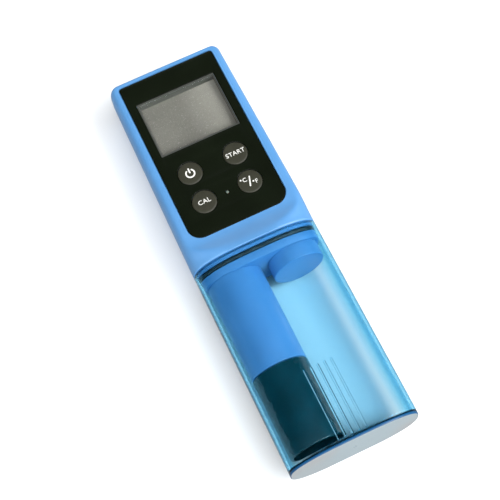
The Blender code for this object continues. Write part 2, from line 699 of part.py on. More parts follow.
def stub():
    centre = (STUB_X, STUB_Z)
    top = NECK_END - GAP
    bore = 3.5
    rings = [
        round_ring(centre, bore, STUB_END + 2.1),
        round_ring(centre, bore, SPIGOT_END),
        round_ring(centre, SPIGOT_RADIUS, SPIGOT_END),
        round_ring(centre, SPIGOT_RADIUS, top),
        sensor_ring(centre, STUB_HALF, top, 0.3),
        sensor_ring(centre, STUB_HALF, top - 0.4),
        sensor_ring(centre, STUB_HALF, STUB_END + 0.3),
        sensor_ring(centre, STUB_HALF, STUB_END, 0.3),
    ]
    loft("stub_housing", rings, "blue_abs")
    bead_top, bead_end = -8.0, -12.6
    bead = [
        (0, bead_top), (1.2, bead_top - 0.2), (1.6, bead_top - 1.0),
        (1.6, bead_end + 1.0), (1.2, bead_end + 0.2), (0, bead_end),
    ]
    turned("thermistor", bead, (STUB_X, 0, STUB_Z), "black_abs", "Y", 20)
    route = [(STUB_X, y, STUB_Z) for y in (bead_top + 0.3, -2, 3)]
    wire("thermistor_lead", route + lead_end(LEAD_X), 0.6, "black_rubber")


# ---- the cup ----
def cup():
    """A one-piece clear cup: floor, thin wall, and five short ribs on its front."""
    rim = SEAM_Y - GAP / 2
    edge = 1.0
    inside_floor = CUP_END + CUP_FLOOR
    rings = [
        body_ring(inside_floor, inset=CUP_WALL + 0.8),
        body_ring(inside_floor + 0.8, inset=CUP_WALL),
        body_ring(rim, inset=CUP_WALL),
        body_ring(rim, inset=0.2),
        body_ring(rim - 0.3),
        body_ring(CUP_END + edge),
    ]
    for angle in (30, 60, 90):
        turn = math.radians(angle)
        inset = edge * (1 - math.cos(turn))
        ring = body_ring(CUP_END + edge * (1 - math.sin(turn)), inset=inset)
        rings.append(ring)
    shell = loft("cup", rings, "cup_blue")
    low, high = RIB_SPAN
    for i in range(RIB_COUNT):
        x = (i - (RIB_COUNT - 1) / 2) * RIB_PITCH
        # front surface of the oval at this x
        z = MID_Z + FRONT_RISE * (1 - (abs(x) / HALF_WIDTH) ** SOFT_POWER) ** (1 / SOFT_POWER)
        ends = [(RIB_RADIUS * math.sin(math.radians(a)), high - RIB_RADIUS * (1 - math.cos(math.radians(a))))
                for a in (0, 30, 60, 90)]
        tail = [(radius, low + high - height) for radius, height in reversed(ends)]
        change(shell, turned(f"cup_rib_{i}", ends + tail, (x, 0, z - 0.05), along="Y", steps=12), "UNION")


front_shell()
back_shell()
case_screws()
panel()
display()
keys()
electronics()
battery_bay()
neck()
sensor_fixings()
probe()
stub()
cup()
bpy.context.view_layer.update()
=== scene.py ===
import math

import bmesh
import bpy
from mathutils import Matrix, Vector


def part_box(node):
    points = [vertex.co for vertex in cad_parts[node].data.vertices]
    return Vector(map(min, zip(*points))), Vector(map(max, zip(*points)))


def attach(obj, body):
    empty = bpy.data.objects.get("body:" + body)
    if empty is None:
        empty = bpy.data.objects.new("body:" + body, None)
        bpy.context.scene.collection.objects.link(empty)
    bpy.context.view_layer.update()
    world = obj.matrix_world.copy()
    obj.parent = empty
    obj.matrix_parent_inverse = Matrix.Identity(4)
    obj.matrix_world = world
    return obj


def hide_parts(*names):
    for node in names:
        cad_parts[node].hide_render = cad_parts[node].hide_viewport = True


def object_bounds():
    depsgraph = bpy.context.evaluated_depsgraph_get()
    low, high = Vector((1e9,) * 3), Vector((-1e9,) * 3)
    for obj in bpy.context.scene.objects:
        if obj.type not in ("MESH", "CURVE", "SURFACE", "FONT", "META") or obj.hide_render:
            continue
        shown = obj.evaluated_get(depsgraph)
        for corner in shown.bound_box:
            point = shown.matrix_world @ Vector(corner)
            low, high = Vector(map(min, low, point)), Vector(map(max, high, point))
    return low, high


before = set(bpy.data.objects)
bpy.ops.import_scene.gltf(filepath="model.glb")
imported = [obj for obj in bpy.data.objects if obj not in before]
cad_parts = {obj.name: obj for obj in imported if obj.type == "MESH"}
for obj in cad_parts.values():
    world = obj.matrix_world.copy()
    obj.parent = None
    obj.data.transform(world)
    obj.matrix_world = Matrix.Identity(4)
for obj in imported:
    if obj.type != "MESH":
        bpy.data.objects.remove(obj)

cad_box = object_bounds()

# ---------------------------------------------------------------------------
# Camera. It stands over the cup's end, a little to the left, and looks down on
# the meter through a long portrait lens, tilted so the meter lies across the picture.
aim = (cad_box[0] + cad_box[1]) / 2 + Vector((-0.0014, 0.0006, 0.0))
azimuth, elevation, roll = (math.radians(a) for a in (-15.9, 66.7, 9.92))
reach = 0.4728
outward = Vector((
    math.sin(azimuth) * math.cos(elevation), -math.cos(azimuth) * math.cos(elevation), math.sin(elevation)
))
level = outward.cross(Vector((0, 0, -1))).normalized()
upright = outward.cross(level)
to_right = math.cos(roll) * level - math.sin(roll) * upright
to_top = outward.cross(to_right)
lens = bpy.data.cameras.new("portrait_lens")
lens.sensor_width = 36.0
lens.lens = 87.06
lens.clip_start = 0.01
camera = bpy.data.objects.new("camera", lens)
camera.matrix_world = Matrix.Translation(aim + outward * reach) @ Matrix(
    (to_right, to_top, outward)
).transposed().to_4x4()
bpy.context.scene.collection.objects.link(camera)
bpy.context.scene.camera = camera

# ---------------------------------------------------------------------------
# Studio. A white sweep under the meter inside a light tent, with one large soft box to the
# right. A grey strip across the tent, beyond the head, keeps bright streaks off the cup and panel.


def linear(hex_colour):
    """An sRGB hex colour as linear RGBA."""
    values = [int(hex_colour[i:i + 2], 16) / 255 for i in (1, 3, 5)]
    return (*[v / 12.92 if v <= 0.04045 else ((v + 0.055) / 1.055) ** 2.4 for v in values], 1.0)


def add_node(tree, kind, settings=None, inputs=None):
    """One shader node, with its settings, its plain values and its links."""
    made = tree.nodes.new("ShaderNode" + kind)
    for name, value in (settings or {}).items():
        setattr(made, name, value)
    for name, value in (inputs or {}).items():
        if isinstance(value, bpy.types.NodeSocket):
            tree.links.new(value, made.inputs[name])
        else:
            made.inputs[name].default_value = value
    return made


def set_stops(ramp, stops):
    """Stops of a colour ramp, as (position, hex colour)."""
    spots = ramp.color_ramp.elements
    while len(spots) < len(stops):
        spots.new(1.0)
    for spot, (place, colour) in zip(spots, stops):
        spot.position = place
        spot.color = linear(colour)
    return ramp


def new_material(name, ior=1.50):
    """A material with its node tree, its shader and the place on the object that its patterns follow."""
    material = bpy.data.materials.new(name)
    material.use_nodes = True
    tree = material.node_tree
    shader = tree.nodes["Principled BSDF"]
    shader.inputs["IOR"].default_value = ior
    at = add_node(tree, "TexCoord").outputs["Object"]
    return material, tree, shader, at


def finished(material, colour, gloss, relief=None):
    """Links a material's colour, roughness and relief to its shader."""
    tree = material.node_tree
    shader = tree.nodes["Principled BSDF"]
    tree.links.new(colour.outputs["Color"], shader.inputs["Base Color"])
    tree.links.new(gloss.outputs["Result"], shader.inputs["Roughness"])
    if relief:
        tree.links.new(relief.outputs["Normal"], shader.inputs["Normal"])
    return material


bpy.context.scene.view_settings.view_transform = "Standard"
tent = bpy.data.worlds.new("light_tent")
tent.use_nodes = True
bpy.context.scene.world = tent
sky = tent.node_tree
sky.nodes.clear()
# by direction: X is across the meter, Y along it towards the head, Z up
direction = add_node(sky, "TexCoord")
along_meter = add_node(sky, "SeparateXYZ", inputs={"Vector": direction.outputs["Generated"]})
across_tent = add_node(sky, "MapRange", inputs={
    "Value": along_meter.outputs["Y"], "From Min": -1.0, "From Max": 1.0,
})
tent_wall = set_stops(
    add_node(sky, "ValToRGB", inputs={"Fac": across_tent.outputs["Result"]}),
    [(0.44, "#fbfdff"), (0.52, "#2c2d2e"), (0.83, "#2c2d2e"), (0.93, "#9fa0a1")],
)
up_the_tent = add_node(sky, "MapRange", {"interpolation_type": "SMOOTHSTEP"}, {
    "Value": along_meter.outputs["Z"], "From Min": -0.1, "From Max": 0.55, "To Min": 0.8, "To Max": 3.6,
})
left_to_right = add_node(sky, "MapRange", {"interpolation_type": "SMOOTHSTEP"}, {
    "Value": along_meter.outputs["X"], "From Min": -0.6, "From Max": 0.2, "To Min": 0.6, "To Max": 1.0,
})
strength = add_node(sky, "Math", {"operation": "MULTIPLY"}, {
    0: up_the_tent.outputs["Result"], 1: left_to_right.outputs["Result"],
})
above_sweep = add_node(sky, "MapRange", inputs={
    "Value": along_meter.outputs["Z"], "From Min": -0.05, "From Max": 0.12,
})
# inputs 6 and 7 of the mix are its two colours: the sweep's edge below, the tent above
tent_all_round = add_node(sky, "Mix", {"data_type": "RGBA"}, {
    0: above_sweep.outputs["Result"], 6: linear("#c3c9cd"), 7: tent_wall.outputs["Color"],
})
glow = add_node(sky, "Background", inputs={
    "Color": tent_all_round.outputs[2], "Strength": strength.outputs["Value"],
})
add_node(sky, "OutputWorld", inputs={"Surface": glow.outputs["Background"]})


def soft_box(name, place, size, power):
    """A round diffused lamp that faces the meter."""
    lamp = bpy.data.lights.new(name, "AREA")
    lamp.shape = "DISK"
    lamp.size = size
    lamp.energy = power
    box = bpy.data.objects.new(name, lamp)
    box.location = place
    box.rotation_euler = (Vector((0, 0, 0.01)) - Vector(place)).to_track_quat("-Z", "Y").to_euler()
    bpy.context.scene.collection.objects.link(box)


soft_box("soft_box_right", (0.50, -0.36, 0.72), 0.40, 5.0)

sweep_below = 0.0003
bpy.ops.mesh.primitive_grid_add(
    x_subdivisions=4, y_subdivisions=4, size=6, location=(0, 0, cad_box[0].z - sweep_below)
)
sweep = bpy.context.active_object
sweep.name = "white_sweep"
paper, tree, shader, at = new_material("matte_white_backdrop_paper")
fibre = add_node(tree, "TexNoise", inputs={"Vector": at, "Scale": 900.0, "Detail": 4.0})
relief = add_node(tree, "Bump", inputs={
    "Strength": 0.05, "Distance": 0.0002, "Height": fibre.outputs["Fac"],
})
shader.inputs["Base Color"].default_value = linear("#f6f6f5")
shader.inputs["Roughness"].default_value = 0.9
tree.links.new(relief.outputs["Normal"], shader.inputs["Normal"])
sweep.data.materials.append(paper)
# the sweep is hidden from glossy rays, so the meter's sides don't mirror it
sweep.visible_glossy = False

# ---------------------------------------------------------------------------
# Case. Two injection-moulded ABS shells, oval where they meet the cup and boxy with a
# flat front under the panel. A tongue on the back shell fits inside the front one.
MM = 0.001
AROUND_HALF = 150            # points round half of the case
SHELL_WALL = 2.0
CLEARANCE = 0.3              # between pieces that touch, here and below in millimetres


def cad_mm(node):
    """Lowest and highest corner of a CAD piece, in millimetres."""
    low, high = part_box(node)
    return low / MM, high / MM


front_low, front_high = cad_mm("front_shell")
panel_low, panel_high = cad_mm("panel_overlay")
cup_low, cup_high = cad_mm("cup")
half_width = cup_high.x
head_end = front_high.y
seam = front_low.y - CLEARANCE / 2
parting = front_low.z - CLEARANCE / 2
face = panel_high.z + 0.2
front_rise, back_drop = 12.6, parting + 0.4
head_end_half_width = half_width - 1.3
soft_power, boxy_power, boxy_back_power = 2.8, 5.0, 3.2


def ease(value, start, end):
    """0 before start, 1 past end, and a smooth rise between them."""
    t = min(max((value - start) / (end - start), 0.0), 1.0)
    return t * t * (3 - 2 * t)


def arch(wide, tall, power, count):
    """Half a superellipse from +X over the top to -X, with its points evenly spaced."""
    dense = []
    for i in range(count * 6 + 1):
        angle = math.pi * i / (count * 6)
        c, s = math.cos(angle), math.sin(angle)
        dense.append((math.copysign(abs(c) ** (2 / power), c) * wide, abs(s) ** (2 / power) * tall))
    steps = [0.0]
    for a, b in zip(dense, dense[1:]):
        steps.append(steps[-1] + math.hypot(b[0] - a[0], b[1] - a[1]))
    points, at = [], 0
    for i in range(count + 1):
        goal = steps[-1] * i / count
        while at < len(steps) - 2 and steps[at + 1] < goal:
            at += 1
        share = (goal - steps[at]) / max(steps[at + 1] - steps[at], 1e-9)
        a, b = dense[at], dense[at + 1]
        points.append((a[0] + (b[0] - a[0]) * share, a[1] + (b[1] - a[1]) * share))
    return points


def capped(value, top, bend):
    """The lower of value and top, with the corner between them rounded over bend."""
    near = max(bend - abs(value - top), 0.0)
    return min(value, top) - near * near / (4 * bend)


def oval_half(
    front, inset=0.0, wide=half_width, power=soft_power, top=None, bend=0.5, floor=0.0, count=AROUND_HALF
):
    """Front or back half of one cross-section, as (x, z) from +X round to -X."""
    tall = (front_rise if front else back_drop) - inset
    points = []
    for x, rise in arch(wide - inset, tall, power, count):
        if front:
            z = parting + rise
            z = z if top is None else capped(z, top, bend)
        else:
            z = -capped(-(parting - rise), -(floor + inset), 0.35)
        points.append((x, z))
    return points


def oval(inset=0.0, **shape):
    """A whole cross-section, anticlockwise from +X."""
    front = oval_half(True, inset, **shape)
    back = oval_half(False, inset, **{k: v for k, v in shape.items() if k not in ("top", "bend")})
    return front[:-1] + back[::-1][:-1]


def head_half(front, y, inset=0.0, pulled_in=0.0, lowered=0.0, ceiling=None):
    """Half of the head's section at y: oval at the collar, boxy further up."""
    share = ease(y, seam, 14.0)
    narrowing = (half_width - head_end_half_width) * (y - seam) / (head_end - seam)
    crest = parting + front_rise
    top = crest + (face - crest) * ease(y, seam, 8.4) - inset - lowered
    if ceiling is not None:
        top = min(top, ceiling)
    goal = boxy_power if front else boxy_back_power
    power = soft_power + (goal - soft_power) * share
    wide = half_width - narrowing - pulled_in
    return oval_half(front, inset, wide=wide, power=power, top=top, bend=0.35 + 0.75 * share, floor=lowered)


def skin(name, rings, ring_closed=False):
    """A closed solid over a chain of equal rings of (x, y, z) in millimetres."""
    mesh = bmesh.new()
    rows = [[mesh.verts.new([v * MM for v in point]) for point in ring] for ring in rings]
    pairs = list(zip(rows, rows[1:])) + ([(rows[-1], rows[0])] if ring_closed else [])
    for a, b in pairs:
        for i in range(len(a)):
            j = (i + 1) % len(a)
            mesh.faces.new((a[i], a[j], b[j], b[i]))
    if not ring_closed:
        mesh.faces.new(rows[0])
        mesh.faces.new(rows[-1])
    return thing_from(name, mesh)


def thing_from(name, mesh):
    """An object from a finished mesh, with its faces pointing out."""
    bmesh.ops.recalc_face_normals(mesh, faces=mesh.faces[:])
    data = bpy.data.meshes.new(name)
    mesh.to_mesh(data)
    mesh.free()
    made = bpy.data.objects.new(name, data)
    bpy.context.scene.collection.objects.link(made)
    return made


def block(name, low, high, round_edge=0.0):
    """A box between two corners in millimetres, with its edges rounded if asked."""
    mesh = bmesh.new()
    bmesh.ops.create_cube(mesh, size=1.0)
    bmesh.ops.scale(mesh, vec=[(b - a) * MM for a, b in zip(low, high)], verts=mesh.verts)
    bmesh.ops.translate(mesh, vec=[(a + b) / 2 * MM for a, b in zip(low, high)], verts=mesh.verts)
    if round_edge:
        bmesh.ops.bevel(
            mesh, geom=mesh.edges[:], offset=round_edge * MM, segments=3, profile=0.5, affect="EDGES"
        )
    return thing_from(name, mesh)


def carve(thing, tools, operation="DIFFERENCE"):
    """Cuts tools out of a piece, or joins them to it, and throws the tools away."""
    for tool in tools:
        step = thing.modifiers.new(operation.lower(), "BOOLEAN")
        step.operation = operation
        step.solver = "EXACT"
        step.object = tool
    bpy.context.view_layer.update()
    shaped = bpy.data.meshes.new_from_object(thing.evaluated_get(bpy.context.evaluated_depsgraph_get()))
    thing.modifiers.clear()
    thing.data = shaped
    for tool in tools:
        bpy.data.objects.remove(tool, do_unlink=True)
    return thing


def fit(thing, material, body, nodes=(), crease=30):
    """Shades a piece smooth between its creases, gives it its finish and rides it on its body."""
    thing.data.materials.clear()
    for finish in material if isinstance(material, tuple) else (material,):
        thing.data.materials.append(finish)
    thing.data.shade_smooth()
    thing.data.set_sharp_from_angle(angle=math.radians(crease))
    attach(thing, body)
    if nodes:
        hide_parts(*nodes)
    return thing


def turned(name, profile, place, along="Z", steps=64):
    """A profile of (radius, height) turned round an axis. Its ends lie on the axis, or it meets itself."""
    closed = profile[0][0] > 0
    mesh = bmesh.new()
    rows = []
    for radius, height in profile:
        row = []
        for i in range(steps if radius > 0 else 1):
            angle = 2 * math.pi * i / steps
            a, b = radius * math.cos(angle), radius * math.sin(angle)
            point = (a, b, height) if along == "Z" else (a, height, b)
            row.append(mesh.verts.new([(p + q) * MM for p, q in zip(point, place)]))
        rows.append(row)
    for a, b in list(zip(rows, rows[1:])) + ([(rows[-1], rows[0])] if closed else []):
        for i in range(steps):
            j = (i + 1) % steps
            if len(a) == 1:
                mesh.faces.new((a[0], b[j], b[i]))
            elif len(b) == 1:
                mesh.faces.new((a[i], a[j], b[0]))
            else:
                mesh.faces.new((a[i], a[j], b[j], b[i]))
    return thing_from(name, mesh)


def peg(name, x, y, radius, low, high, steps=64):
    """An upright round bar."""
    return turned(name, [(0, high), (radius, high), (radius, low), (0, low)], (x, y, 0), steps=steps)


def blue_abs():
    """Moulded ABS with a fine spark-eroded grain: satin, with soft broad highlights. The real grain is
    about 0.05 mm, too fine to show, so it is drawn at 0.35 mm."""
    material, tree, shader, at = new_material("satin_blue_moulded_abs", 1.53)
    flow = add_node(tree, "TexNoise", inputs={
        "Vector": at, "Scale": 60.0, "Detail": 3.0, "Roughness": 0.55,
    })
    tint = set_stops(
        add_node(tree, "ValToRGB", inputs={"Fac": flow.outputs["Fac"]}),
        [(0.30, "#4d83b6"), (0.70, "#558abd")],
    )
    grain = add_node(tree, "TexNoise", inputs={"Vector": at, "Scale": 2800.0, "Detail": 2.0})
    wipe = add_node(tree, "TexNoise", inputs={"Vector": at, "Scale": 220.0, "Detail": 4.0})
    gloss = add_node(tree, "MapRange", inputs={
        "Value": wipe.outputs["Fac"], "To Min": 0.30, "To Max": 0.40,
    })
    relief = add_node(tree, "Bump", inputs={
        "Strength": 0.12, "Distance": 0.00006, "Height": grain.outputs["Fac"],
    })
    return finished(material, tint, gloss, relief)


satin_blue = blue_abs()


def head_block(name, front):
    """Outer form of one half of the head, rounded at its end and a little at the collar."""
    edge, corner, lip = 0.7, 2.2, 0.25
    first = seam + CLEARANCE / 2
    stations = [(first, lip), (first + 0.08, lip * 0.4), (first + lip, 0.0)]
    stations += [(y, 0.0) for y in (0, 1, 2, 3, 4, 5, 6, 7, 8.4, 9.5, 11, 12.5, 14, 20, 30, 45, 60, 75)]
    stations += [(head_end - corner * (1 - math.sin(math.radians(a))), 0.0) for a in range(0, 91, 10)]
    rings = []
    for y, inset in stations:
        past_corner = max(y - (head_end - corner), 0.0)
        past_edge = max(y - (head_end - edge), 0.0)
        pulled_in = corner - math.sqrt(max(corner**2 - past_corner**2, 0.0))
        lowered = edge - math.sqrt(max(edge**2 - past_edge**2, 0.0))
        half = head_half(front, y, inset=inset, pulled_in=pulled_in, lowered=lowered)
        edge_z = parting + (CLEARANCE / 2 if front else -CLEARANCE / 2)
        ring = [(x, y, max(z, edge_z) if front else min(z, edge_z)) for x, z in half]
        rings.append(ring)
    return skin(name, rings)


def head_hollow(name, front, inset=SHELL_WALL):
    """The space inside one half of the head, which leaves the wall round it."""
    ceiling = face - 3.3
    crest = parting + front_rise - inset
    rings = []
    for y in (seam - 2, 1, 2, 3, 5, 7, 10, 14, 30, 50, 70, head_end - inset):
        top = crest + (ceiling - crest) * ease(y, seam, 7.0)
        half = head_half(front, max(y, seam), inset=inset, ceiling=top)
        drop = -1.0 if front else 1.0
        ends = [(half[-1][0], y, parting + drop), (half[0][0], y, parting + drop)]
        rings.append([(x, y, z) for x, z in half] + ends)
    return skin(name, rings)


# the back shell's tongue stands inside the front shell, where the wall is stepped back
def tongue_ring(name, inside, outside, low, high):
    """An upright strip that follows the case's outline between two insets."""
    corner_wide, corner_long = 2.0, 2.2
    outline = []
    for inset in (outside, inside):
        loop = []
        ys = [seam + 4.5] + [5 + 5 * i for i in range(15)] + [head_end - inset - corner_long]
        for y in ys:
            narrowing = (half_width - head_end_half_width) * (y - seam) / (head_end - seam)
            loop.append((half_width - narrowing - inset, y))
        wide, corner_start = loop[-1]
        for a in range(15, 91, 15):
            turn = math.radians(a)
            out = wide - corner_wide * (1 - math.cos(turn))
            loop.append((out, corner_start + corner_long * math.sin(turn)))
        outline.append(loop + [(-x, y) for x, y in reversed(loop)])
    outer, inner = outline
    mesh = bmesh.new()
    rows = []
    for loop, z in ((outer, low), (outer, high), (inner, high), (inner, low)):
        rows.append([mesh.verts.new((x * MM, y * MM, z * MM)) for x, y in loop])
    for a, b in zip(rows, rows[1:] + rows[:1]):
        for i in range(len(a) - 1):
            mesh.faces.new((a[i], a[i + 1], b[i + 1], b[i]))
    mesh.faces.new([row[0] for row in rows])
    mesh.faces.new([row[-1] for row in rows])
    return thing_from(name, mesh)


window_low, window_high = cad_mm("display_lens")
key_nodes = ("button_power", "button_start", "button_cal", "button_unit")
key_places = {node: sum(cad_mm(node), Vector()) / 2 for node in key_nodes}
key_radius = 4.95
light_low, light_high = cad_mm("light_pipe")
light_y = (light_low.y + light_high.y) / 2
pocket = panel_low.z - CLEARANCE


def corner_run(low, high, low_radius, high_radius, steps=12):
    """Plan outline of a rectangle with its own corner radius at each end."""
    corners = (
        (high[0] - low_radius, low[1] + low_radius, low_radius, -90),
        (high[0] - high_radius, high[1] - high_radius, high_radius, 0),
        (low[0] + high_radius, high[1] - high_radius, high_radius, 90),
        (low[0] + low_radius, low[1] + low_radius, low_radius, 180),
    )
    points = []
    for x, y, radius, start in corners:
        for step in range(steps + 1):
            angle = math.radians(start + 90 * step / steps)
            points.append((x + radius * math.cos(angle), y + radius * math.sin(angle)))
    return points


def slab(name, outline, low, high):
    """A plan outline made an upright solid."""
    return skin(name, [[(x, y, z) for x, y in outline] for z in (low, high)])


def panel_outline(grow):
    """The panel's outline: large corners by the cup, small ones at the head's end."""
    large, small = 5.5, 1.3
    low = (panel_low.x - grow, panel_low.y - grow)
    high = (panel_high.x + grow, panel_high.y + grow)
    return corner_run(low, high, large + grow, small + grow)


def window_outline(grow):
    """The opening for the display, a little larger than its window."""
    margin, corner = 0.65 + grow, 0.35
    low = (window_low.x - margin, window_low.y - margin)
    high = (window_high.x + margin, window_high.y + margin)
    return corner_run(low, high, corner, corner, 4)


front_case = head_block("front_case", True)
carve(front_case, [head_hollow("hollow", True)])
carve(front_case, [tongue_ring("rebate", 3.0, 0.9, parting - 1, parting + 1.3)])
carve(front_case, [slab("panel_bed", panel_outline(CLEARANCE), pocket, face + 4)])
through, past = face - 5, pocket + 1
openings = [slab("window", window_outline(CLEARANCE), through, past)]
for p in key_places.values():
    openings.append(peg("key_hole", p.x, p.y, key_radius + CLEARANCE, through, past))
openings.append(peg("light_hole", 0, light_y, 0.9, through, past, 24))
carve(front_case, openings)
fit(front_case, satin_blue, "body", ("front_shell",))

door_low, door_high = cad_mm("battery_door")
screw_nodes = [f"case_screw_{i}" for i in (1, 2, 3, 4)]
screw_places = [sum(cad_mm(node), Vector()) / 2 for node in screw_nodes]
sunk = cad_mm(screw_nodes[0])[0].z
door_rail_half_width = door_high.x
door_half_width, door_lip = door_rail_half_width - 1.1, 0.8

back_case = head_block("back_case", False)
carve(back_case, [head_hollow("hollow", False)])
carve(back_case, [tongue_ring("tongue", 2.1, 1.1, parting - 1.2, parting + 1.1)], "UNION")
boss_radius = 3.0
bosses = [peg("boss", p.x, p.y, boss_radius, 1.7, parting - 0.2) for p in screw_places]
carve(back_case, bosses, "UNION")
bore = [
    (0, parting + 2), (1.4, parting + 2), (1.4, 4.5), (2.5, 4.5),
    (2.5, 0.35), (2.9, -0.05), (2.9, -2), (0, -2),
]
carve(back_case, [turned("screw_bore", bore, (p.x, p.y, 0), steps=48) for p in screw_places])
mouth, rail = door_half_width + CLEARANCE, door_rail_half_width + CLEARANCE
start = door_low.y - CLEARANCE
beyond_end = head_end + 5
door_top = door_high.z + CLEARANCE
carve(back_case, [block("door_mouth", (-mouth, start + door_lip, -2), (mouth, beyond_end, 1.5))])
carve(back_case, [block("door_rails", (-rail, start, 1.2), (rail, beyond_end, door_top))])
fit(back_case, satin_blue, "body", ("back_shell",))

# ---------------------------------------------------------------------------
# Case screws. Zinc-plated steel, cross-headed, driven from the back into the front
# shell's bosses. Turning leaves fine rings on their heads.
screw_low, screw_high = cad_mm(screw_nodes[0])
cross_long, cross_wide, cross_deep = 1.25, 0.28, 0.6


def plated_steel():
    """Bright zinc over steel: cold grey metal with fine rings from turning, about 0.1 mm apart."""
    material, tree, shader, at = new_material("zinc_plated_turned_steel")
    shader.inputs["Metallic"].default_value = 1.0
    cloud = add_node(tree, "TexNoise", inputs={"Vector": at, "Scale": 900.0, "Detail": 4.0})
    tint = set_stops(
        add_node(tree, "ValToRGB", inputs={"Fac": cloud.outputs["Fac"]}),
        [(0.3, "#a9abad"), (0.7, "#c9cac8")],
    )
    worn = add_node(tree, "MapRange", inputs={
        "Value": cloud.outputs["Fac"], "To Min": 0.22, "To Max": 0.38,
    })
    rings = add_node(tree, "TexNoise", inputs={"Vector": at, "Scale": 5000.0})
    relief = add_node(tree, "Bump", inputs={
        "Strength": 0.15, "Distance": 0.00005, "Height": rings.outputs["Fac"],
    })
    return finished(material, tint, worn, relief)


bright_steel = plated_steel()
head_radius = (screw_high.x - screw_low.x) / 2
shank_radius, seat = 1.0, 4.2
thread_pitch = 0.9
for node, p in zip(screw_nodes, screw_places):
    profile = [(0, screw_high.z), (0.15, screw_high.z - 0.05), (shank_radius - 0.25, screw_high.z - 1.3)]
    turns = int((screw_high.z - 1.3 - seat - 1.5) / thread_pitch)
    for i in range(turns):
        top = screw_high.z - 1.5 - i * thread_pitch
        profile += [(shank_radius - 0.25, top), (shank_radius, top - 0.45 * thread_pitch)]
    profile += [
        (shank_radius - 0.2, seat + 0.9), (shank_radius - 0.2, seat), (head_radius, seat),
        (head_radius, sunk + 0.55), (head_radius - 0.12, sunk + 0.3), (head_radius - 0.5, sunk + 0.06),
        (0, sunk),
    ]
    screw = turned(node + "_turned", profile, (p.x, p.y, 0), steps=48)
    for wide, tall in ((cross_long, cross_wide), (cross_wide, cross_long)):
        low, high = (p.x - wide, p.y - tall, sunk - 1), (p.x + wide, p.y + tall, sunk + cross_deep)
        carve(screw, [block("cross", low, high)])
    fit(screw, bright_steel, "body", (node,), crease=28)

# ---------------------------------------------------------------------------
# Front panel. A black overlay with a satin hard coat, let into a shallow bed in the
# front shell. It has an opening for the window, one for each key and a dot for the light.


def black_overlay():
    """Back-printed polyester film: very dark, faintly green, with a fine satin texture of about 0.1 mm,
    drawn at 0.3 mm so that it shows."""
    material, tree, shader, at = new_material("black_hard_coated_overlay_film", 1.50)
    cloud = add_node(tree, "TexNoise", inputs={"Vector": at, "Scale": 70.0, "Detail": 4.0})
    tint = set_stops(
        add_node(tree, "ValToRGB", inputs={"Fac": cloud.outputs["Fac"]}),
        [(0.3, "#070c03"), (0.7, "#0b1106")],
    )
    grain = add_node(tree, "TexNoise", inputs={"Vector": at, "Scale": 3300.0, "Detail": 1.0})
    gloss = add_node(tree, "MapRange", inputs={
        "Value": cloud.outputs["Fac"], "To Min": 0.13, "To Max": 0.18,
    })
    relief = add_node(tree, "Bump", inputs={
        "Strength": 0.04, "Distance": 0.00004, "Height": grain.outputs["Fac"],
    })
    return finished(material, tint, gloss, relief)


def flat_plate(name, outlines, low, high, edge=0.06):
    """A plate from plan outlines, the first its rim and the others its holes, with softened edges."""
    curve = bpy.data.curves.new(name, "CURVE")
    curve.dimensions = "2D"
    curve.fill_mode = "BOTH"
    curve.extrude = ((high - low) / 2 - edge) * MM
    curve.bevel_depth = edge * MM
    curve.bevel_resolution = 2
    curve.offset = -edge * MM
    for outline in outlines:
        spline = curve.splines.new("POLY")
        spline.points.add(len(outline) - 1)
        for point, (x, y) in zip(spline.points, outline):
            point.co = (x * MM, y * MM, 0.0, 1.0)
        spline.use_cyclic_u = True
    return thing_from_curve(name, curve, (low + high) / 2 * MM)


def thing_from_curve(name, curve, lift=0.0):
    """A solid piece from a curve, raised by lift metres."""
    guide = bpy.data.objects.new(name + "_guide", curve)
    bpy.context.scene.collection.objects.link(guide)
    bpy.context.view_layer.update()
    data = bpy.data.meshes.new_from_object(guide.evaluated_get(bpy.context.evaluated_depsgraph_get()))
    mesh = bmesh.new()
    mesh.from_mesh(data)
    bmesh.ops.remove_doubles(mesh, verts=mesh.verts, dist=1e-7)
    bmesh.ops.translate(mesh, vec=(0, 0, lift), verts=mesh.verts)
    bpy.data.objects.remove(guide, do_unlink=True)
    return thing_from(name, mesh)


def round_run(x, y, radius, steps=72):
    """A circle's plan outline, run the other way round from the rim's, so that it makes a hole."""
    turns = [2 * math.pi * i / steps for i in range(steps)]
    return [(x + radius * math.cos(a), y - radius * math.sin(a)) for a in turns]


holes = [window_outline(0.2)[::-1]]
holes += [round_run(p.x, p.y, key_radius + 0.2) for p in key_places.values()]
holes += [round_run(0, light_y, 0.75, 32)]
overlay = flat_plate("front_overlay", [panel_outline(0.0)] + holes, panel_low.z, panel_high.z)
fit(overlay, black_overlay(), "body", ("panel_overlay",), crease=50)

# ---------------------------------------------------------------------------
# Display. A grey ABS frame carries the liquid-crystal glass about 4 mm down, and a
# clear acrylic window closes it flush with the panel. It is switched off, so it shows no segments.


def grey_abs():
    """Plain mid-grey ABS, left matte from the tool so that it doesn't shine round the display."""
    material, tree, shader, at = new_material("matte_grey_moulded_abs", 1.53)
    grain = add_node(tree, "TexNoise", inputs={"Vector": at, "Scale": 2500.0, "Detail": 3.0})
    tint = set_stops(
        add_node(tree, "ValToRGB", inputs={"Fac": grain.outputs["Fac"]}),
        [(0.2, "#3a3c38"), (0.8, "#434540")],
    )
    gloss = add_node(tree, "MapRange", inputs={
        "Value": grain.outputs["Fac"], "To Min": 0.5, "To Max": 0.62,
    })
    relief = add_node(tree, "Bump", inputs={
        "Strength": 0.2, "Distance": 0.00006, "Height": grain.outputs["Fac"],
    })
    return finished(material, tint, gloss, relief)


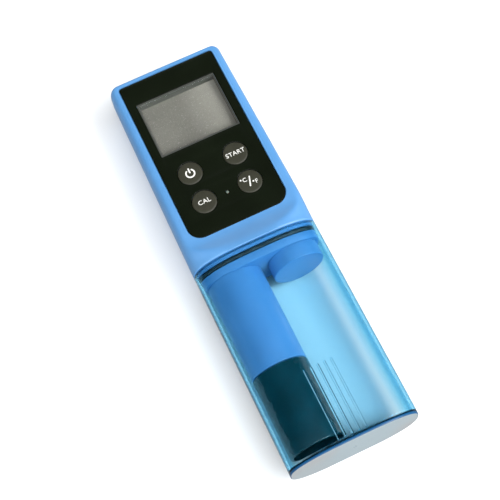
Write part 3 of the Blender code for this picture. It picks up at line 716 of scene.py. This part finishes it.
def lcd_polariser():
    """Reflective liquid-crystal cell under a polariser: warm silver-grey, with the faint mottle of the
    reflector foil, about 0.6 mm across. Painted light makes it lighter towards its right side, against the
    frame's shade there."""
    material, tree, shader, at = new_material("silver_grey_lcd_polariser", 1.50)
    mottle = add_node(tree, "TexNoise", inputs={"Vector": at, "Scale": 1600.0, "Detail": 3.0})
    drift = add_node(tree, "TexNoise", inputs={"Vector": at, "Scale": 45.0, "Detail": 1.0})
    fine = add_node(tree, "Math", {"operation": "MULTIPLY"}, {0: mottle.outputs["Fac"], 1: 0.35})
    across = add_node(tree, "SeparateXYZ", inputs={"Vector": at})
    # painted light: the cell grows lighter towards its right side, to offset the shade the frame's wall
    # casts there
    painted_light_to_right = add_node(tree, "MapRange", inputs={
        "Value": across.outputs["X"], "From Min": 0.0, "From Max": 0.016, "To Min": 0.05, "To Max": 0.65,
    })
    drifting = add_node(tree, "Math", {"operation": "MULTIPLY_ADD"}, {
        0: drift.outputs["Fac"], 1: 0.4, 2: fine.outputs["Value"],
    })
    total = add_node(tree, "Math", {"operation": "ADD"}, {
        0: drifting.outputs["Value"], 1: painted_light_to_right.outputs["Result"],
    })
    tint = set_stops(
        add_node(tree, "ValToRGB", inputs={"Fac": total.outputs["Value"]}),
        [(0.15, "#53514c"), (0.95, "#827f78")],
    )
    gloss = add_node(tree, "MapRange", inputs={
        "Value": mottle.outputs["Fac"], "To Min": 0.22, "To Max": 0.30,
    })
    return finished(material, tint, gloss)


def clear_moulding(name, tint, ior, haze, scale):
    """A clear material that bends what is behind it. Lamps reach what is inside through a plain tinted
    path, because the light that real clear walls focus would take very long to render."""
    material, tree, shader, at = new_material(name)
    shader.inputs["Base Color"].default_value = linear(tint)
    shader.inputs["IOR"].default_value = ior
    shader.inputs["Transmission Weight"].default_value = 1.0
    smear = add_node(tree, "TexNoise", inputs={"Vector": at, "Scale": scale, "Detail": 4.0})
    gloss = add_node(tree, "MapRange", inputs={
        "Value": smear.outputs["Fac"], "To Min": haze * 0.6, "To Max": haze * 1.4,
    })
    tree.links.new(gloss.outputs["Result"], shader.inputs["Roughness"])
    lamp_path = add_node(tree, "BsdfTransparent", inputs={"Color": [c**0.5 for c in linear(tint)]})
    is_lamp = add_node(tree, "LightPath").outputs["Is Shadow Ray"]
    mixed = add_node(tree, "MixShader", inputs={
        0: is_lamp, 1: shader.outputs["BSDF"], 2: lamp_path.outputs["BSDF"],
    })
    tree.links.new(mixed.outputs["Shader"], tree.nodes["Material Output"].inputs["Surface"])
    return material


clear_acrylic = clear_moulding("clear_polished_acrylic", "#fbfdfc", 1.49, 0.02, 90.0)


def finish_cad(node, material, round_edge=0.0):
    """A CAD piece whose shape is right: it takes a finish and, where it has bare edges, a small bevel."""
    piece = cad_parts[node]
    piece.data.materials.clear()
    piece.data.materials.append(material)
    if round_edge:
        soften = piece.modifiers.new("softened_edges", "BEVEL")
        soften.width = round_edge * MM
        soften.segments = 2
        soften.limit_method = "ANGLE"
        soften.angle_limit = math.radians(40)


matte_grey = grey_abs()
finish_cad("lcd_frame", matte_grey, 0.12)
finish_cad("lcd_glass", lcd_polariser(), 0.1)
pane_low, pane_high = cad_mm("display_lens")
pane_rim = corner_run((pane_low.x, pane_low.y), (pane_high.x, pane_high.y), 0.3, 0.3, 4)
pane = flat_plate("display_window", [pane_rim], pane_low.z, pane_high.z, 0.02)
fit(pane, (clear_acrylic, matte_grey), "body", ("display_lens",), crease=50)
# its sawn edges are left matte grey, which keeps glints off them; being opaque, they also darken the band
# along the display's top edge as painted shade
for side in pane.data.polygons:
    if abs(side.normal.z) < 0.5:
        side.material_index = 1

# ---------------------------------------------------------------------------
# Keys. Four round charcoal caps, almost flush with the panel, with a soft edge. Each has
# its legend printed in white and rests on a tactile switch.


def key_plastic():
    """Charcoal moulded caps with a fine matte texture, about 0.15 mm, drawn at 0.25 mm."""
    material, tree, shader, at = new_material("matte_charcoal_key_plastic", 1.50)
    grain = add_node(tree, "TexNoise", inputs={"Vector": at, "Scale": 4000.0, "Detail": 2.0})
    cloud = add_node(tree, "TexNoise", inputs={"Vector": at, "Scale": 300.0, "Detail": 3.0})
    tint = set_stops(
        add_node(tree, "ValToRGB", inputs={"Fac": cloud.outputs["Fac"]}),
        [(0.3, "#222215"), (0.7, "#28281a")],
    )
    gloss = add_node(tree, "MapRange", inputs={
        "Value": grain.outputs["Fac"], "To Min": 0.42, "To Max": 0.56,
    })
    relief = add_node(tree, "Bump", inputs={
        "Strength": 0.25, "Distance": 0.00005, "Height": grain.outputs["Fac"],
    })
    return finished(material, tint, gloss, relief)


def legend_ink():
    """White screen-printing ink, cured matte, with slightly uneven cover."""
    material, tree, shader, at = new_material("white_screen_printed_ink")
    cover = add_node(tree, "TexNoise", inputs={"Vector": at, "Scale": 3000.0, "Detail": 2.0})
    tint = set_stops(
        add_node(tree, "ValToRGB", inputs={"Fac": cover.outputs["Fac"]}),
        [(0.25, "#c9c8c2"), (0.6, "#dbdad4")],
    )
    gloss = add_node(tree, "MapRange", inputs={
        "Value": cover.outputs["Fac"], "To Min": 0.45, "To Max": 0.6,
    })
    return finished(material, tint, gloss)


charcoal_key = key_plastic()
white_ink = legend_ink()
print_thick = 0.03


def lettering(name, words, x, y, tall, bold=0.012, spacing=1.08):
    """Printed words centred on a point, in millimetres."""
    text = bpy.data.curves.new(name, "FONT")
    text.body = words
    text.align_x = "CENTER"
    text.align_y = "CENTER"
    text.size = tall * 1.38 * MM
    text.space_character = spacing
    text.offset = bold * tall * MM
    text.extrude = print_thick * MM
    text.resolution_u = 6
    printed = thing_from_curve(name, text)
    printed.data.transform(Matrix.Translation((x * MM, y * MM, 0)))
    return printed


def stroke(name, route, wide):
    """A printed line with round ends along a route in millimetres."""
    left, right = [], []
    for i, (x, y) in enumerate(route):
        ax, ay = route[max(i - 1, 0)]
        bx, by = route[min(i + 1, len(route) - 1)]
        away = math.hypot(bx - ax, by - ay)
        nx, ny = -(by - ay) / away * wide / 2, (bx - ax) / away * wide / 2
        left.append((x + nx, y + ny))
        right.append((x - nx, y - ny))
    ends = []
    for (x, y), (fx, fy) in ((route[-1], left[-1]), (route[0], right[0])):
        first = math.atan2(fy - y, fx - x)
        turns = [first - math.pi * k / 8 for k in range(1, 8)]
        ends.append([(x + wide / 2 * math.cos(a), y + wide / 2 * math.sin(a)) for a in turns])
    outline = left + ends[0] + right[::-1] + ends[1]
    return slab(name, outline, -print_thick, print_thick)


def joined(name, things):
    """Several prints as one piece."""
    mesh = bmesh.new()
    for thing in things:
        mesh.from_mesh(thing.data)
        bpy.data.objects.remove(thing, do_unlink=True)
    return thing_from(name, mesh)


def power_mark(x, y):
    """The usual sign for power: an open ring with a bar in its gap."""
    ring_radius, wide, gap = 1.72, 0.62, 38
    turns = [math.radians(90 + gap + (360 - 2 * gap) * i / 40) for i in range(41)]
    route = [(x + ring_radius * math.cos(a), y - 0.15 + ring_radius * math.sin(a)) for a in turns]
    ring = stroke("ring", route, wide)
    bar = stroke("bar", [(x, y + 0.25), (x, y + 1.25), (x, y + 2.0)], wide)
    return joined("legend_power", [ring, bar])


def unit_mark(x, y):
    """Degrees C over degrees F, with a slash between them."""
    slash = stroke("slash", [(x - 0.62, y - 1.95), (x, y), (x + 0.62, y + 1.95)], 0.55)
    letters = [lettering("c", "C", x - 1.7, y + 1.2, 1.8), lettering("f", "F", x + 2.45, y - 1.15, 1.8)]
    marks = []
    for mx, my in ((x - 3.2, y + 1.75), (x + 1.25, y - 0.6)):
        marks.append(slab("degree", round_run(mx, my, 0.36, 20)[::-1], -print_thick, print_thick))
    return joined("legend_unit", [slash] + letters + marks)


legends = {
    "button_power": power_mark,
    "button_start": lambda x, y: lettering("legend_start", "START", x, y, 1.9),
    "button_cal": lambda x, y: lettering("legend_cal", "CAL", x, y, 1.95),
    "button_unit": unit_mark,
}
key_low, key_high = cad_mm("button_power")
flange_radius = (key_high.x - key_low.x) / 2
flange_high, flange_low, stem = face - 3.4, face - 4.2, 1.6
crown, soft_edge = 0.06, 0.35
for node, p in key_places.items():
    body = node.replace("button_", "") + "_key"
    top = key_high.z
    profile = [(0, top), (2.5, top - crown * 0.2), (key_radius - 2 * soft_edge, top - crown)]
    for a in range(15, 91, 15):
        turn = math.radians(a)
        out = key_radius - soft_edge * (1 - math.sin(turn))
        profile.append((out, top - crown - 0.02 - soft_edge * (1 - math.cos(turn))))
    profile += [
        (key_radius, flange_high), (flange_radius, flange_high), (flange_radius, flange_low),
        (stem, flange_low), (stem, key_low.z), (0, key_low.z),
    ]
    cap = turned(node + "_cap", profile, (p.x, p.y, 0), steps=96)
    fit(cap, charcoal_key, body, (node,))
    legend = legends[node](p.x, p.y)
    legend.data.transform(Matrix.Translation((0, 0, (top - crown * 0.35) * MM)))
    fit(legend, white_ink, body)

# ---------------------------------------------------------------------------
# Inside the head. A green glass-epoxy board carries the display's rubber connector, the
# four tactile switches and a small light, whose clear pipe ends as a dot in the panel.


def solder_mask():
    """Green solder mask over glass cloth and copper tracks: tracks 0.4 mm wide show as lighter lines."""
    material, tree, shader, at = new_material("green_solder_mask_on_glass_epoxy")
    tracks = add_node(tree, "TexBrick", {"offset": 0.37, "squash_frequency": 3}, {
        "Vector": at, "Scale": 180.0, "Mortar Size": 0.06, "Brick Width": 0.9, "Row Height": 0.28,
        "Color1": linear("#0e5a2b"), "Color2": linear("#116331"), "Mortar": linear("#2f8a48"),
    })
    weave = add_node(tree, "TexNoise", inputs={"Vector": at, "Scale": 1500.0, "Detail": 3.0})
    gloss = add_node(tree, "MapRange", inputs={
        "Value": weave.outputs["Fac"], "To Min": 0.25, "To Max": 0.45,
    })
    relief = add_node(tree, "Bump", inputs={
        "Strength": 0.3, "Distance": 0.00004, "Height": tracks.outputs["Fac"],
    })
    return finished(material, tracks, gloss, relief)


def black_rubber(name, dark, light):
    """Nitrile rubber: dull black, with the slight bloom and fine pits of moulded rubber, about 0.3 mm."""
    material, tree, shader, at = new_material(name, 1.52)
    bloom = add_node(tree, "TexNoise", inputs={"Vector": at, "Scale": 500.0, "Detail": 4.0})
    pits = add_node(tree, "TexVoronoi", inputs={"Vector": at, "Scale": 3000.0})
    tint = set_stops(
        add_node(tree, "ValToRGB", inputs={"Fac": bloom.outputs["Fac"]}), [(0.3, dark), (0.75, light)],
    )
    gloss = add_node(tree, "MapRange", inputs={
        "Value": bloom.outputs["Fac"], "To Min": 0.45, "To Max": 0.65,
    })
    relief = add_node(tree, "Bump", inputs={
        "Strength": 0.15, "Distance": 0.00004, "Height": pits.outputs["Distance"],
    })
    return finished(material, tint, gloss, relief)


def milky_moulding(name, dark, light):
    """A milky moulding resin, slightly waxy, with soft clouding about 1.5 mm across."""
    material, tree, shader, at = new_material(name, 1.48)
    shader.inputs["Subsurface Weight"].default_value = 0.1
    shader.inputs["Subsurface Scale"].default_value = 0.0008
    cloud = add_node(tree, "TexNoise", inputs={"Vector": at, "Scale": 700.0, "Detail": 3.0})
    tint = set_stops(
        add_node(tree, "ValToRGB", inputs={"Fac": cloud.outputs["Fac"]}),
        [(0.3, dark), (0.7, light)],
    )
    gloss = add_node(tree, "MapRange", inputs={
        "Value": cloud.outputs["Fac"], "To Min": 0.3, "To Max": 0.45,
    })
    return finished(material, tint, gloss)


nitrile = black_rubber("black_nitrile_rubber", "#061a20", "#0b242b")
acetal = milky_moulding("natural_white_acetal", "#dcdbd3", "#ecebe4")
finish_cad("circuit_board", solder_mask(), 0.08)
finish_cad("lcd_connector", nitrile, 0.1)
finish_cad("status_led", acetal, 0.08)
for name in ("power", "start", "cal", "unit"):
    finish_cad("switch_" + name, bright_steel)
pipe_radius = light_high.x
pipe = [
    (0, light_high.z + 0.03), (pipe_radius * 0.5, light_high.z),
    (pipe_radius - 0.05, light_high.z - 0.08), (pipe_radius, light_high.z - 0.2),
    (pipe_radius, light_low.z), (0, light_low.z),
]
light_pipe = turned("light_dot", pipe, (0, light_y, 0), steps=32)
smoked_acrylic = milky_moulding("smoked_diffusing_acrylic", "#5e6a60", "#66736a")
fit(light_pipe, smoked_acrylic, "body", ("light_pipe",))

# ---------------------------------------------------------------------------
# Battery bay. A black tray holds two AAA cells between plated contacts and conical
# springs. Its door slides off the head's end in two rails, and has five grip grooves.


def dark_moulding(name, dark, light, rough):
    """A plastic moulding in a deep colour, with a low soft sheen. The tool's texture, about 0.1 mm, is
    drawn at 0.3 mm so that it shows."""
    material, tree, shader, at = new_material(name, 1.53)
    cloud = add_node(tree, "TexNoise", inputs={"Vector": at, "Scale": 150.0, "Detail": 4.0})
    grain = add_node(tree, "TexNoise", inputs={"Vector": at, "Scale": 3300.0, "Detail": 2.0})
    tint = set_stops(
        add_node(tree, "ValToRGB", inputs={"Fac": cloud.outputs["Fac"]}), [(0.3, dark), (0.7, light)],
    )
    gloss = add_node(tree, "MapRange", inputs={
        "Value": cloud.outputs["Fac"], "To Min": rough - 0.05, "To Max": rough + 0.08,
    })
    relief = add_node(tree, "Bump", inputs={
        "Strength": 0.12, "Distance": 0.00005, "Height": grain.outputs["Fac"],
    })
    return finished(material, tint, gloss, relief)


def cell_sleeve(name, span, stops):
    """Printed sleeve shrunk onto a dry cell: glossy, with plain bands of colour along its span and
    fine wrinkles."""
    material, tree, shader, at = new_material(name)
    shader.inputs["Metallic"].default_value = 0.6
    along = add_node(tree, "SeparateXYZ", inputs={"Vector": at})
    share = add_node(tree, "MapRange", inputs={
        "Value": along.outputs["Y"], "From Min": span[0] * MM, "From Max": span[1] * MM,
    })
    band = set_stops(add_node(tree, "ValToRGB", inputs={"Fac": share.outputs["Result"]}), stops)
    band.color_ramp.interpolation = "CONSTANT"
    wrinkle = add_node(tree, "TexNoise", inputs={"Vector": at, "Scale": 700.0, "Detail": 4.0})
    gloss = add_node(tree, "MapRange", inputs={
        "Value": wrinkle.outputs["Fac"], "To Min": 0.2, "To Max": 0.34,
    })
    relief = add_node(tree, "Bump", inputs={
        "Strength": 0.08, "Distance": 0.00006, "Height": wrinkle.outputs["Fac"],
    })
    return finished(material, band, gloss, relief)


black_abs = dark_moulding("black_moulded_abs", "#0b0c0d", "#121416", 0.4)
finish_cad("battery_tray", black_abs, 0.25)
for side, tip_side in (("left", -1), ("right", 1)):
    low, high = cad_mm(f"battery_{side}")
    x, z = (low.x + high.x) / 2, (low.z + high.z) / 2
    radius, half = (high.x - low.x) / 2, (high.y - low.y) / 2
    tip, shoulder, shoulder_drop = 1.9, 0.45, 0.72
    rim = radius - shoulder
    profile = [
        (0, half), (tip - 0.3, half), (tip, half - 0.25), (tip + 0.05, half - 0.8),
        (rim - 0.6, half - 0.85), (rim - 0.5, half - 0.75), (rim, half - shoulder_drop),
    ]
    for a in (30, 60, 90):
        turn = math.radians(a)
        down = shoulder_drop + shoulder * (1 - math.cos(turn))
        profile.append((rim + shoulder * math.sin(turn), half - down))
    profile += [
        (radius, shoulder - half), (radius - 0.15, 0.12 - half), (rim, -half), (rim - 0.5, 0.12 - half),
        (0, 0.1 - half),
    ]
    profile = [(r, h * tip_side) for r, h in profile]
    cell = turned(f"battery_{side}_cell", profile, (x, (low.y + high.y) / 2, z), "Y", 64)
    bands = [(0.0, "#b9a24a"), (0.10, "#24282c"), (0.985, "#24282c")]
    if tip_side > 0:
        bands = [(0.0, "#24282c"), (0.90, "#b9a24a"), (0.985, "#b9a24a")]
    sleeve = cell_sleeve(f"printed_cell_sleeve_{side}", (low.y, high.y), bands)
    fit(cell, (sleeve, bright_steel), "body", (f"battery_{side}",))
    for polygon in cell.data.polygons:
        centre = polygon.center / MM
        if math.hypot(centre.x - x, centre.z - z) < rim - 0.3:
            polygon.material_index = 1
    finish_cad(f"contact_{side}", bright_steel, 0.1)

    spring_low, spring_high = cad_mm(f"battery_spring_{side}")
    wire_radius, turns, per_turn = 0.33, 3, 32
    small, growth = 2.2, 1.3
    first, last = (spring_low.y + 0.35, spring_high.y - 0.35)[:: -tip_side]
    route = []
    for i in range(turns * per_turn + 1):
        part = i / (turns * per_turn)
        angle = 2 * math.pi * turns * part
        out = small + growth * part
        y = first + (last - first) * part
        route.append((x + out * math.cos(angle), y, z + out * math.sin(angle)))
    coil = bpy.data.curves.new("coil", "CURVE")
    coil.dimensions = "3D"
    coil.bevel_depth = wire_radius * MM
    coil.bevel_resolution = 3
    coil.use_fill_caps = True
    spline = coil.splines.new("POLY")
    spline.points.add(len(route) - 1)
    for point, place in zip(spline.points, route):
        point.co = (*[v * MM for v in place], 1.0)
    spring = thing_from_curve(f"battery_spring_{side}_wire", coil)
    fit(spring, bright_steel, "body", (f"battery_spring_{side}",), crease=60)

door = block(
    "sliding_battery_door", (-door_half_width, door_low.y + door_lip, door_low.z),
    (door_half_width, door_high.y, door_high.z), 0.15,
)
rails = block(
    "rails", (-door_rail_half_width, door_low.y, door_low.z + 1.4),
    (door_rail_half_width, door_high.y, door_high.z - 0.01), 0.1,
)
carve(door, [rails], "UNION")
grip_count, grip_pitch, grip_half, grip_wide, grip_deep = 5, 2.0, 6, 0.9, 0.5
grips = []
for i in range(grip_count):
    y = door_low.y + 5 + grip_pitch * i
    outline = corner_run((-grip_half, y), (grip_half, y + grip_wide), 0.44, 0.44, 8)
    grips.append(slab("groove", outline, door_low.z - 1, door_low.z + grip_deep))
carve(door, grips)
fit(door, satin_blue, "battery_door", ("battery_door",))

# ---------------------------------------------------------------------------
# Neck. A blue ABS plug closes the case, carries both sensors on spigots and holds the
# cup's black seal in a groove. The cup slides over it up to the case's edge.
neck_low, neck_high = cad_mm("neck_collar")
seal_low, seal_high = cad_mm("cup_seal")
groove_mid = (seal_low.y + seal_high.y) / 2
step, groove_inset, groove_half = 1.6, 2.6, 1.05
probe_low, probe_high = cad_mm("probe_barrel")
stub_low, stub_high = cad_mm("stub_housing")
guard_low, guard_high = cad_mm("sensor_guard")
probe_at = ((probe_low.x + probe_high.x) / 2, (probe_low.z + probe_high.z) / 2)
stub_at = ((stub_low.x + stub_high.x) / 2, (stub_low.z + stub_high.z) / 2)
spigot = 5.0

cup_rim = seam - CLEARANCE / 2
groove_low, groove_high = groove_mid - groove_half, groove_mid + groove_half
outside = [
    (neck_low.y, step + 0.6), (neck_low.y + 0.08, step + 0.3), (neck_low.y + 0.3, step + 0.08),
    (neck_low.y + 0.6, step), (groove_low - 0.15, step), (groove_low, step + 0.12),
    (groove_low, groove_inset), (groove_high, groove_inset), (groove_high, step + 0.12),
    (groove_high + 0.15, step), (-2.1, step), (-2.0, step + 0.1), (-2.0, 2.9), (cup_rim, 2.9),
]
rings = [[(x, y, z) for x, z in oval(inset)] for y, inset in outside]
# inside the head the plug's top is flat
plug_top = 21.6
plug = [(cup_rim, 2.3), (neck_high.y, 2.3), (neck_high.y, 4.2), (neck_low.y + 2.0, 4.2)]
rings += [[(x, y, min(z, plug_top)) for x, z in oval(inset)] for y, inset in plug]
neck = skin("neck_plug", rings)
hole = [(0, 6), (spigot + CLEARANCE, 6), (spigot + CLEARANCE, -6), (0, -6)]
for centre in (probe_at, stub_at):
    carve(neck, [turned("spigot_hole", hole, (centre[0], neck_low.y + 1, centre[1]), "Y", 64)])
fit(neck, satin_blue, "body", ("neck_collar",))

seal_half_wide, seal_half_thick, seal_steps = 0.85, 0.55, 16
seal_rings = []
for i in range(seal_steps):
    turn = 2 * math.pi * i / seal_steps
    y = groove_mid + seal_half_wide * math.cos(turn)
    inset = step + 0.4 + seal_half_thick * math.sin(turn)
    seal_rings.append([(x, y, z) for x, z in oval(inset)])
seal = skin("cup_seal_ring", seal_rings, ring_closed=True)
fit(seal, nitrile, "body", ("cup_seal",), crease=60)
for name in ("probe_seal", "stub_seal", "probe_lead", "thermistor_lead"):
    finish_cad(name, nitrile)
for name in ("probe_nut", "stub_nut"):
    finish_cad(name, acetal, 0.15)

# ---------------------------------------------------------------------------
# Probe. A long oval blue barrel holds the electrode. A black guard carries on from it
# round the glass bulb, which is open to the liquid in the cup.
probe_half = ((probe_high.x - probe_low.x) / 2, (probe_high.z - probe_low.z) / 2)
stub_half = ((stub_high.x - stub_low.x) / 2, (stub_high.z - stub_low.z) / 2)


def sensor_ring(centre, half, y, inset=0.0, count=120):
    """An oval ring round a sensor's axis at y."""
    wide, tall = half[0] - inset, half[1] - inset
    turns = [2 * math.pi * i / count for i in range(count)]
    return [(centre[0] + wide * math.cos(a), y, centre[1] + tall * math.sin(a)) for a in turns]


def round_ring(centre, radius, y):
    """A round ring about a sensor's axis at y."""
    return sensor_ring(centre, (radius, radius), y)


def end_edge(centre, half, end, away, radius):
    """Rings round a soft edge, from end face to side. away is +1 where the piece lies at higher y."""
    rings = []
    for a in range(0, 91, 15):
        turn = math.radians(a)
        y = end + away * radius * (1 - math.cos(turn))
        rings.append(sensor_ring(centre, half, y, radius * (1 - math.sin(turn))))
    return rings


neck_face = neck_low.y - 0.05
holder_end = cad_mm("electrode_holder")[0].y - 0.2
barrel_end = guard_high.y + CLEARANCE
barrel_wall, thick_wall = 1.5, 2.9
lead_radius, lead_start = 3.0, neck_low.y - 3.2
rings = [round_ring(probe_at, spigot, probe_high.y), round_ring(probe_at, spigot, neck_face)]
rings += end_edge(probe_at, probe_half, neck_face, -1, 0.12)
rings += end_edge(probe_at, probe_half, barrel_end, 1, 0.3)[::-1]
bore = (
    (barrel_end, barrel_wall), (holder_end, barrel_wall),
    (holder_end, thick_wall), (lead_start, thick_wall),
)
rings += [sensor_ring(probe_at, probe_half, y, inset) for y, inset in bore]
rings += [round_ring(probe_at, lead_radius, lead_start), round_ring(probe_at, lead_radius, probe_high.y)]
barrel = skin("probe_barrel_tube", rings, ring_closed=True)
fit(barrel, satin_blue, "body", ("probe_barrel",))

dark_abs = dark_moulding("petrol_black_moulded_abs", "#00292f", "#00343c", 0.20)
guard_wall = 1.2
rings = end_edge(probe_at, probe_half, guard_high.y, -1, 0.35)
rings += end_edge(probe_at, probe_half, guard_low.y, 1, 0.5)[::-1]
rings += [sensor_ring(probe_at, probe_half, y, guard_wall) for y in (guard_low.y, guard_high.y)]
guard = skin("open_sensor_guard", rings, ring_closed=True)
fit(guard, dark_abs, "body", ("sensor_guard",))

blown_glass = clear_moulding("blown_electrode_glass", "#f1f8f6", 1.52, 0.015, 400.0)
glass_low, glass_high = cad_mm("electrode_glass")
bulb_radius, glass_wall = (glass_high.x - glass_low.x) / 2, 0.7
bulb_centre = glass_low.y + bulb_radius
inner_radius = bulb_radius - glass_wall


def bulb(radius):
    """The round end of the tube, from its side to its tip."""
    turns = [math.radians(a) for a in range(0, 90, 6)]
    points = [(radius * math.cos(turn), bulb_centre - radius * math.sin(turn)) for turn in turns]
    return points + [(0, bulb_centre - radius)]


outer = [(0, glass_high.y), (bulb_radius - 0.8, glass_high.y), (bulb_radius, glass_high.y - 0.8)]
inner = [(0, glass_high.y - 2), (inner_radius, glass_high.y - 2)]
tube = turned("glass_electrode", outer + bulb(bulb_radius), (probe_at[0], 0, probe_at[1]), "Y", 72)
carve(tube, [turned("bore", inner + bulb(inner_radius), (probe_at[0], 0, probe_at[1]), "Y", 72)])
fit(tube, blown_glass, "body", ("electrode_glass",), crease=50)
wire = [
    (0, glass_high.y - 4), (0.45, glass_high.y - 4.2), (0.45, bulb_centre - 2.4), (0, bulb_centre - 2.8),
]
silver = turned("silver_wire", wire, (probe_at[0], 0, probe_at[1]), "Y", 24)
fit(silver, bright_steel, "body")
finish_cad("electrode_holder", black_abs, 0.1)
finish_cad("reference_junction", acetal, 0.1)

# ---------------------------------------------------------------------------
# Temperature sensor. A short blue housing of nearly the probe's section, with a plain
# closed end. Its bead sits just behind that end.
bead_bore = 3.5
rings = [round_ring(stub_at, bead_bore, stub_low.y + 2.1), round_ring(stub_at, bead_bore, stub_high.y)]
rings += [round_ring(stub_at, spigot, stub_high.y), round_ring(stub_at, spigot, neck_face)]
rings += end_edge(stub_at, stub_half, neck_face, -1, 0.12)
rings += end_edge(stub_at, stub_half, stub_low.y, 1, 0.45)[::-1]
housing = skin("temperature_sensor_housing", rings)
fit(housing, satin_blue, "body", ("stub_housing",))
finish_cad("thermistor", black_abs)

# ---------------------------------------------------------------------------
# Cup. One clear blue-tinted polycarbonate moulding, polished all over but for its satin
# end face. Five short ribs run up its front from the end, and where the end closes it the
# tint gathers in a deep blue line.
tinted_clear = clear_moulding("blue_tinted_polished_polycarbonate", "#fafeff", 1.58, 0.03, 60.0)
# the tint deepens where the wall is seen edge-on, and colours what is mirrored in it
tree = tinted_clear.node_tree
shader = tree.nodes["Principled BSDF"]
shader.inputs["Specular Tint"].default_value = linear("#1488ac")
seen_edge_on = add_node(tree, "LayerWeight", inputs={"Blend": 0.5})
deeper = set_stops(
    add_node(tree, "ValToRGB", inputs={"Fac": seen_edge_on.outputs["Facing"]}),
    [(0.12, "#fafeff"), (0.22, "#c0e7f3"), (0.50, "#7ccbe4"), (0.80, "#3aa4ca"), (1.0, "#0f7ea8")],
)
tree.links.new(deeper.outputs["Color"], shader.inputs["Base Color"])
tint_in_depth = add_node(tree, "VolumeAbsorption", inputs={"Color": linear("#71c2da"), "Density": 310.0})
tree.links.new(tint_in_depth.outputs["Volume"], tree.nodes["Material Output"].inputs["Volume"])


def satin_end():
    """The same resin where the tool was left with a fine spark finish: pale and hazy. The grain, about
    0.1 mm, is drawn at 0.4 mm."""
    material, tree, shader, at = new_material("satin_frosted_polycarbonate", 1.58)
    grain = add_node(tree, "TexNoise", inputs={"Vector": at, "Scale": 2500.0, "Detail": 2.0})
    drift = add_node(tree, "TexNoise", inputs={"Vector": at, "Scale": 40.0, "Detail": 1.0})
    tint = set_stops(
        add_node(tree, "ValToRGB", inputs={"Fac": drift.outputs["Fac"]}),
        [(0.35, "#87898a"), (0.65, "#828e93")],
    )
    gloss = add_node(tree, "MapRange", inputs={
        "Value": grain.outputs["Fac"], "To Min": 0.35, "To Max": 0.5,
    })
    relief = add_node(tree, "Bump", inputs={
        "Strength": 0.12, "Distance": 0.00005, "Height": grain.outputs["Fac"],
    })
    return finished(material, tint, gloss, relief)


cup_wall, cup_floor, fillet, cup_edge, blue_line = 1.3, 1.1, 1.2, 0.4, 0.9
floor_y = cup_low.y + cup_floor
stations = []
for a in range(0, 91, 15):
    turn = math.radians(a)
    stations.append((floor_y + fillet * (1 - math.cos(turn)), cup_wall + fillet * (1 - math.sin(turn))))
stations += [(y, cup_wall) for y in (-70, -50, -30, -15, -8, -4, cup_rim - 0.1)]
stations += [(cup_rim, cup_wall + 0.1), (cup_rim, 0.25), (cup_rim - 0.08, 0.08)]
stations += [(y, 0.0) for y in (cup_rim - 0.25, -8, -20, -40, -60, -75, cup_low.y + blue_line)]
for a in range(0, 91, 10):
    turn = math.radians(a)
    stations.append((cup_low.y + cup_edge * (1 - math.sin(turn)), cup_edge * (1 - math.cos(turn))))
cup = skin("storage_cup", [[(x, y, z) for x, z in oval(inset)] for y, inset in stations])
rib_radius, rib_pitch, rib_count, rib_span = 0.45, 2.7, 5, (cup_low.y + 2.0, cup_low.y + 30.7)
rib_end = []
for a in range(0, 91, 15):
    turn = math.radians(a)
    rib_end.append((rib_radius * math.sin(turn), rib_span[1] - rib_radius * (1 - math.cos(turn))))
rib_start = [(radius, sum(rib_span) - y) for radius, y in reversed(rib_end)]
ribs = []
for i in range(rib_count):
    x = (i - (rib_count - 1) / 2) * rib_pitch
    z = parting + front_rise * (1 - (abs(x) / half_width) ** soft_power) ** (1 / soft_power)
    ribs.append(turned("rib", rib_end + rib_start, (x, 0, z - 0.05), "Y", 24))
carve(cup, ribs, "UNION")
# the gate leaves a small ringed mark in the middle of the end face
gate_radius, gate_deep = 0.7, 0.25
gate = [
    (0, cup_low.y + 0.1), (0.25, cup_low.y + 0.12), (0.35, cup_low.y + gate_deep),
    (gate_radius, cup_low.y + gate_deep), (gate_radius, cup_low.y - 1), (0, cup_low.y - 1),
]
carve(cup, [turned("gate_mark", gate, (0, 0, parting), "Y", 24)])
# the line where wall and end meet, seen through the resin's whole depth
outer_edge = dark_moulding("blue_polycarbonate_seen_edge_on", "#023f68", "#044a75", 0.2)
fit(cup, (tinted_clear, satin_end(), outer_edge), "cup", ("cup",), crease=40)
for polygon in cup.data.polygons:
    x, y, z = polygon.center / MM
    in_gate = math.hypot(x, z - parting) < gate_radius + 0.05 and y < cup_low.y + gate_deep + 0.05
    if y < cup_low.y + 0.02 or in_gate:
        polygon.material_index = 1
    elif y < cup_low.y + blue_line:
        polygon.material_index = 2
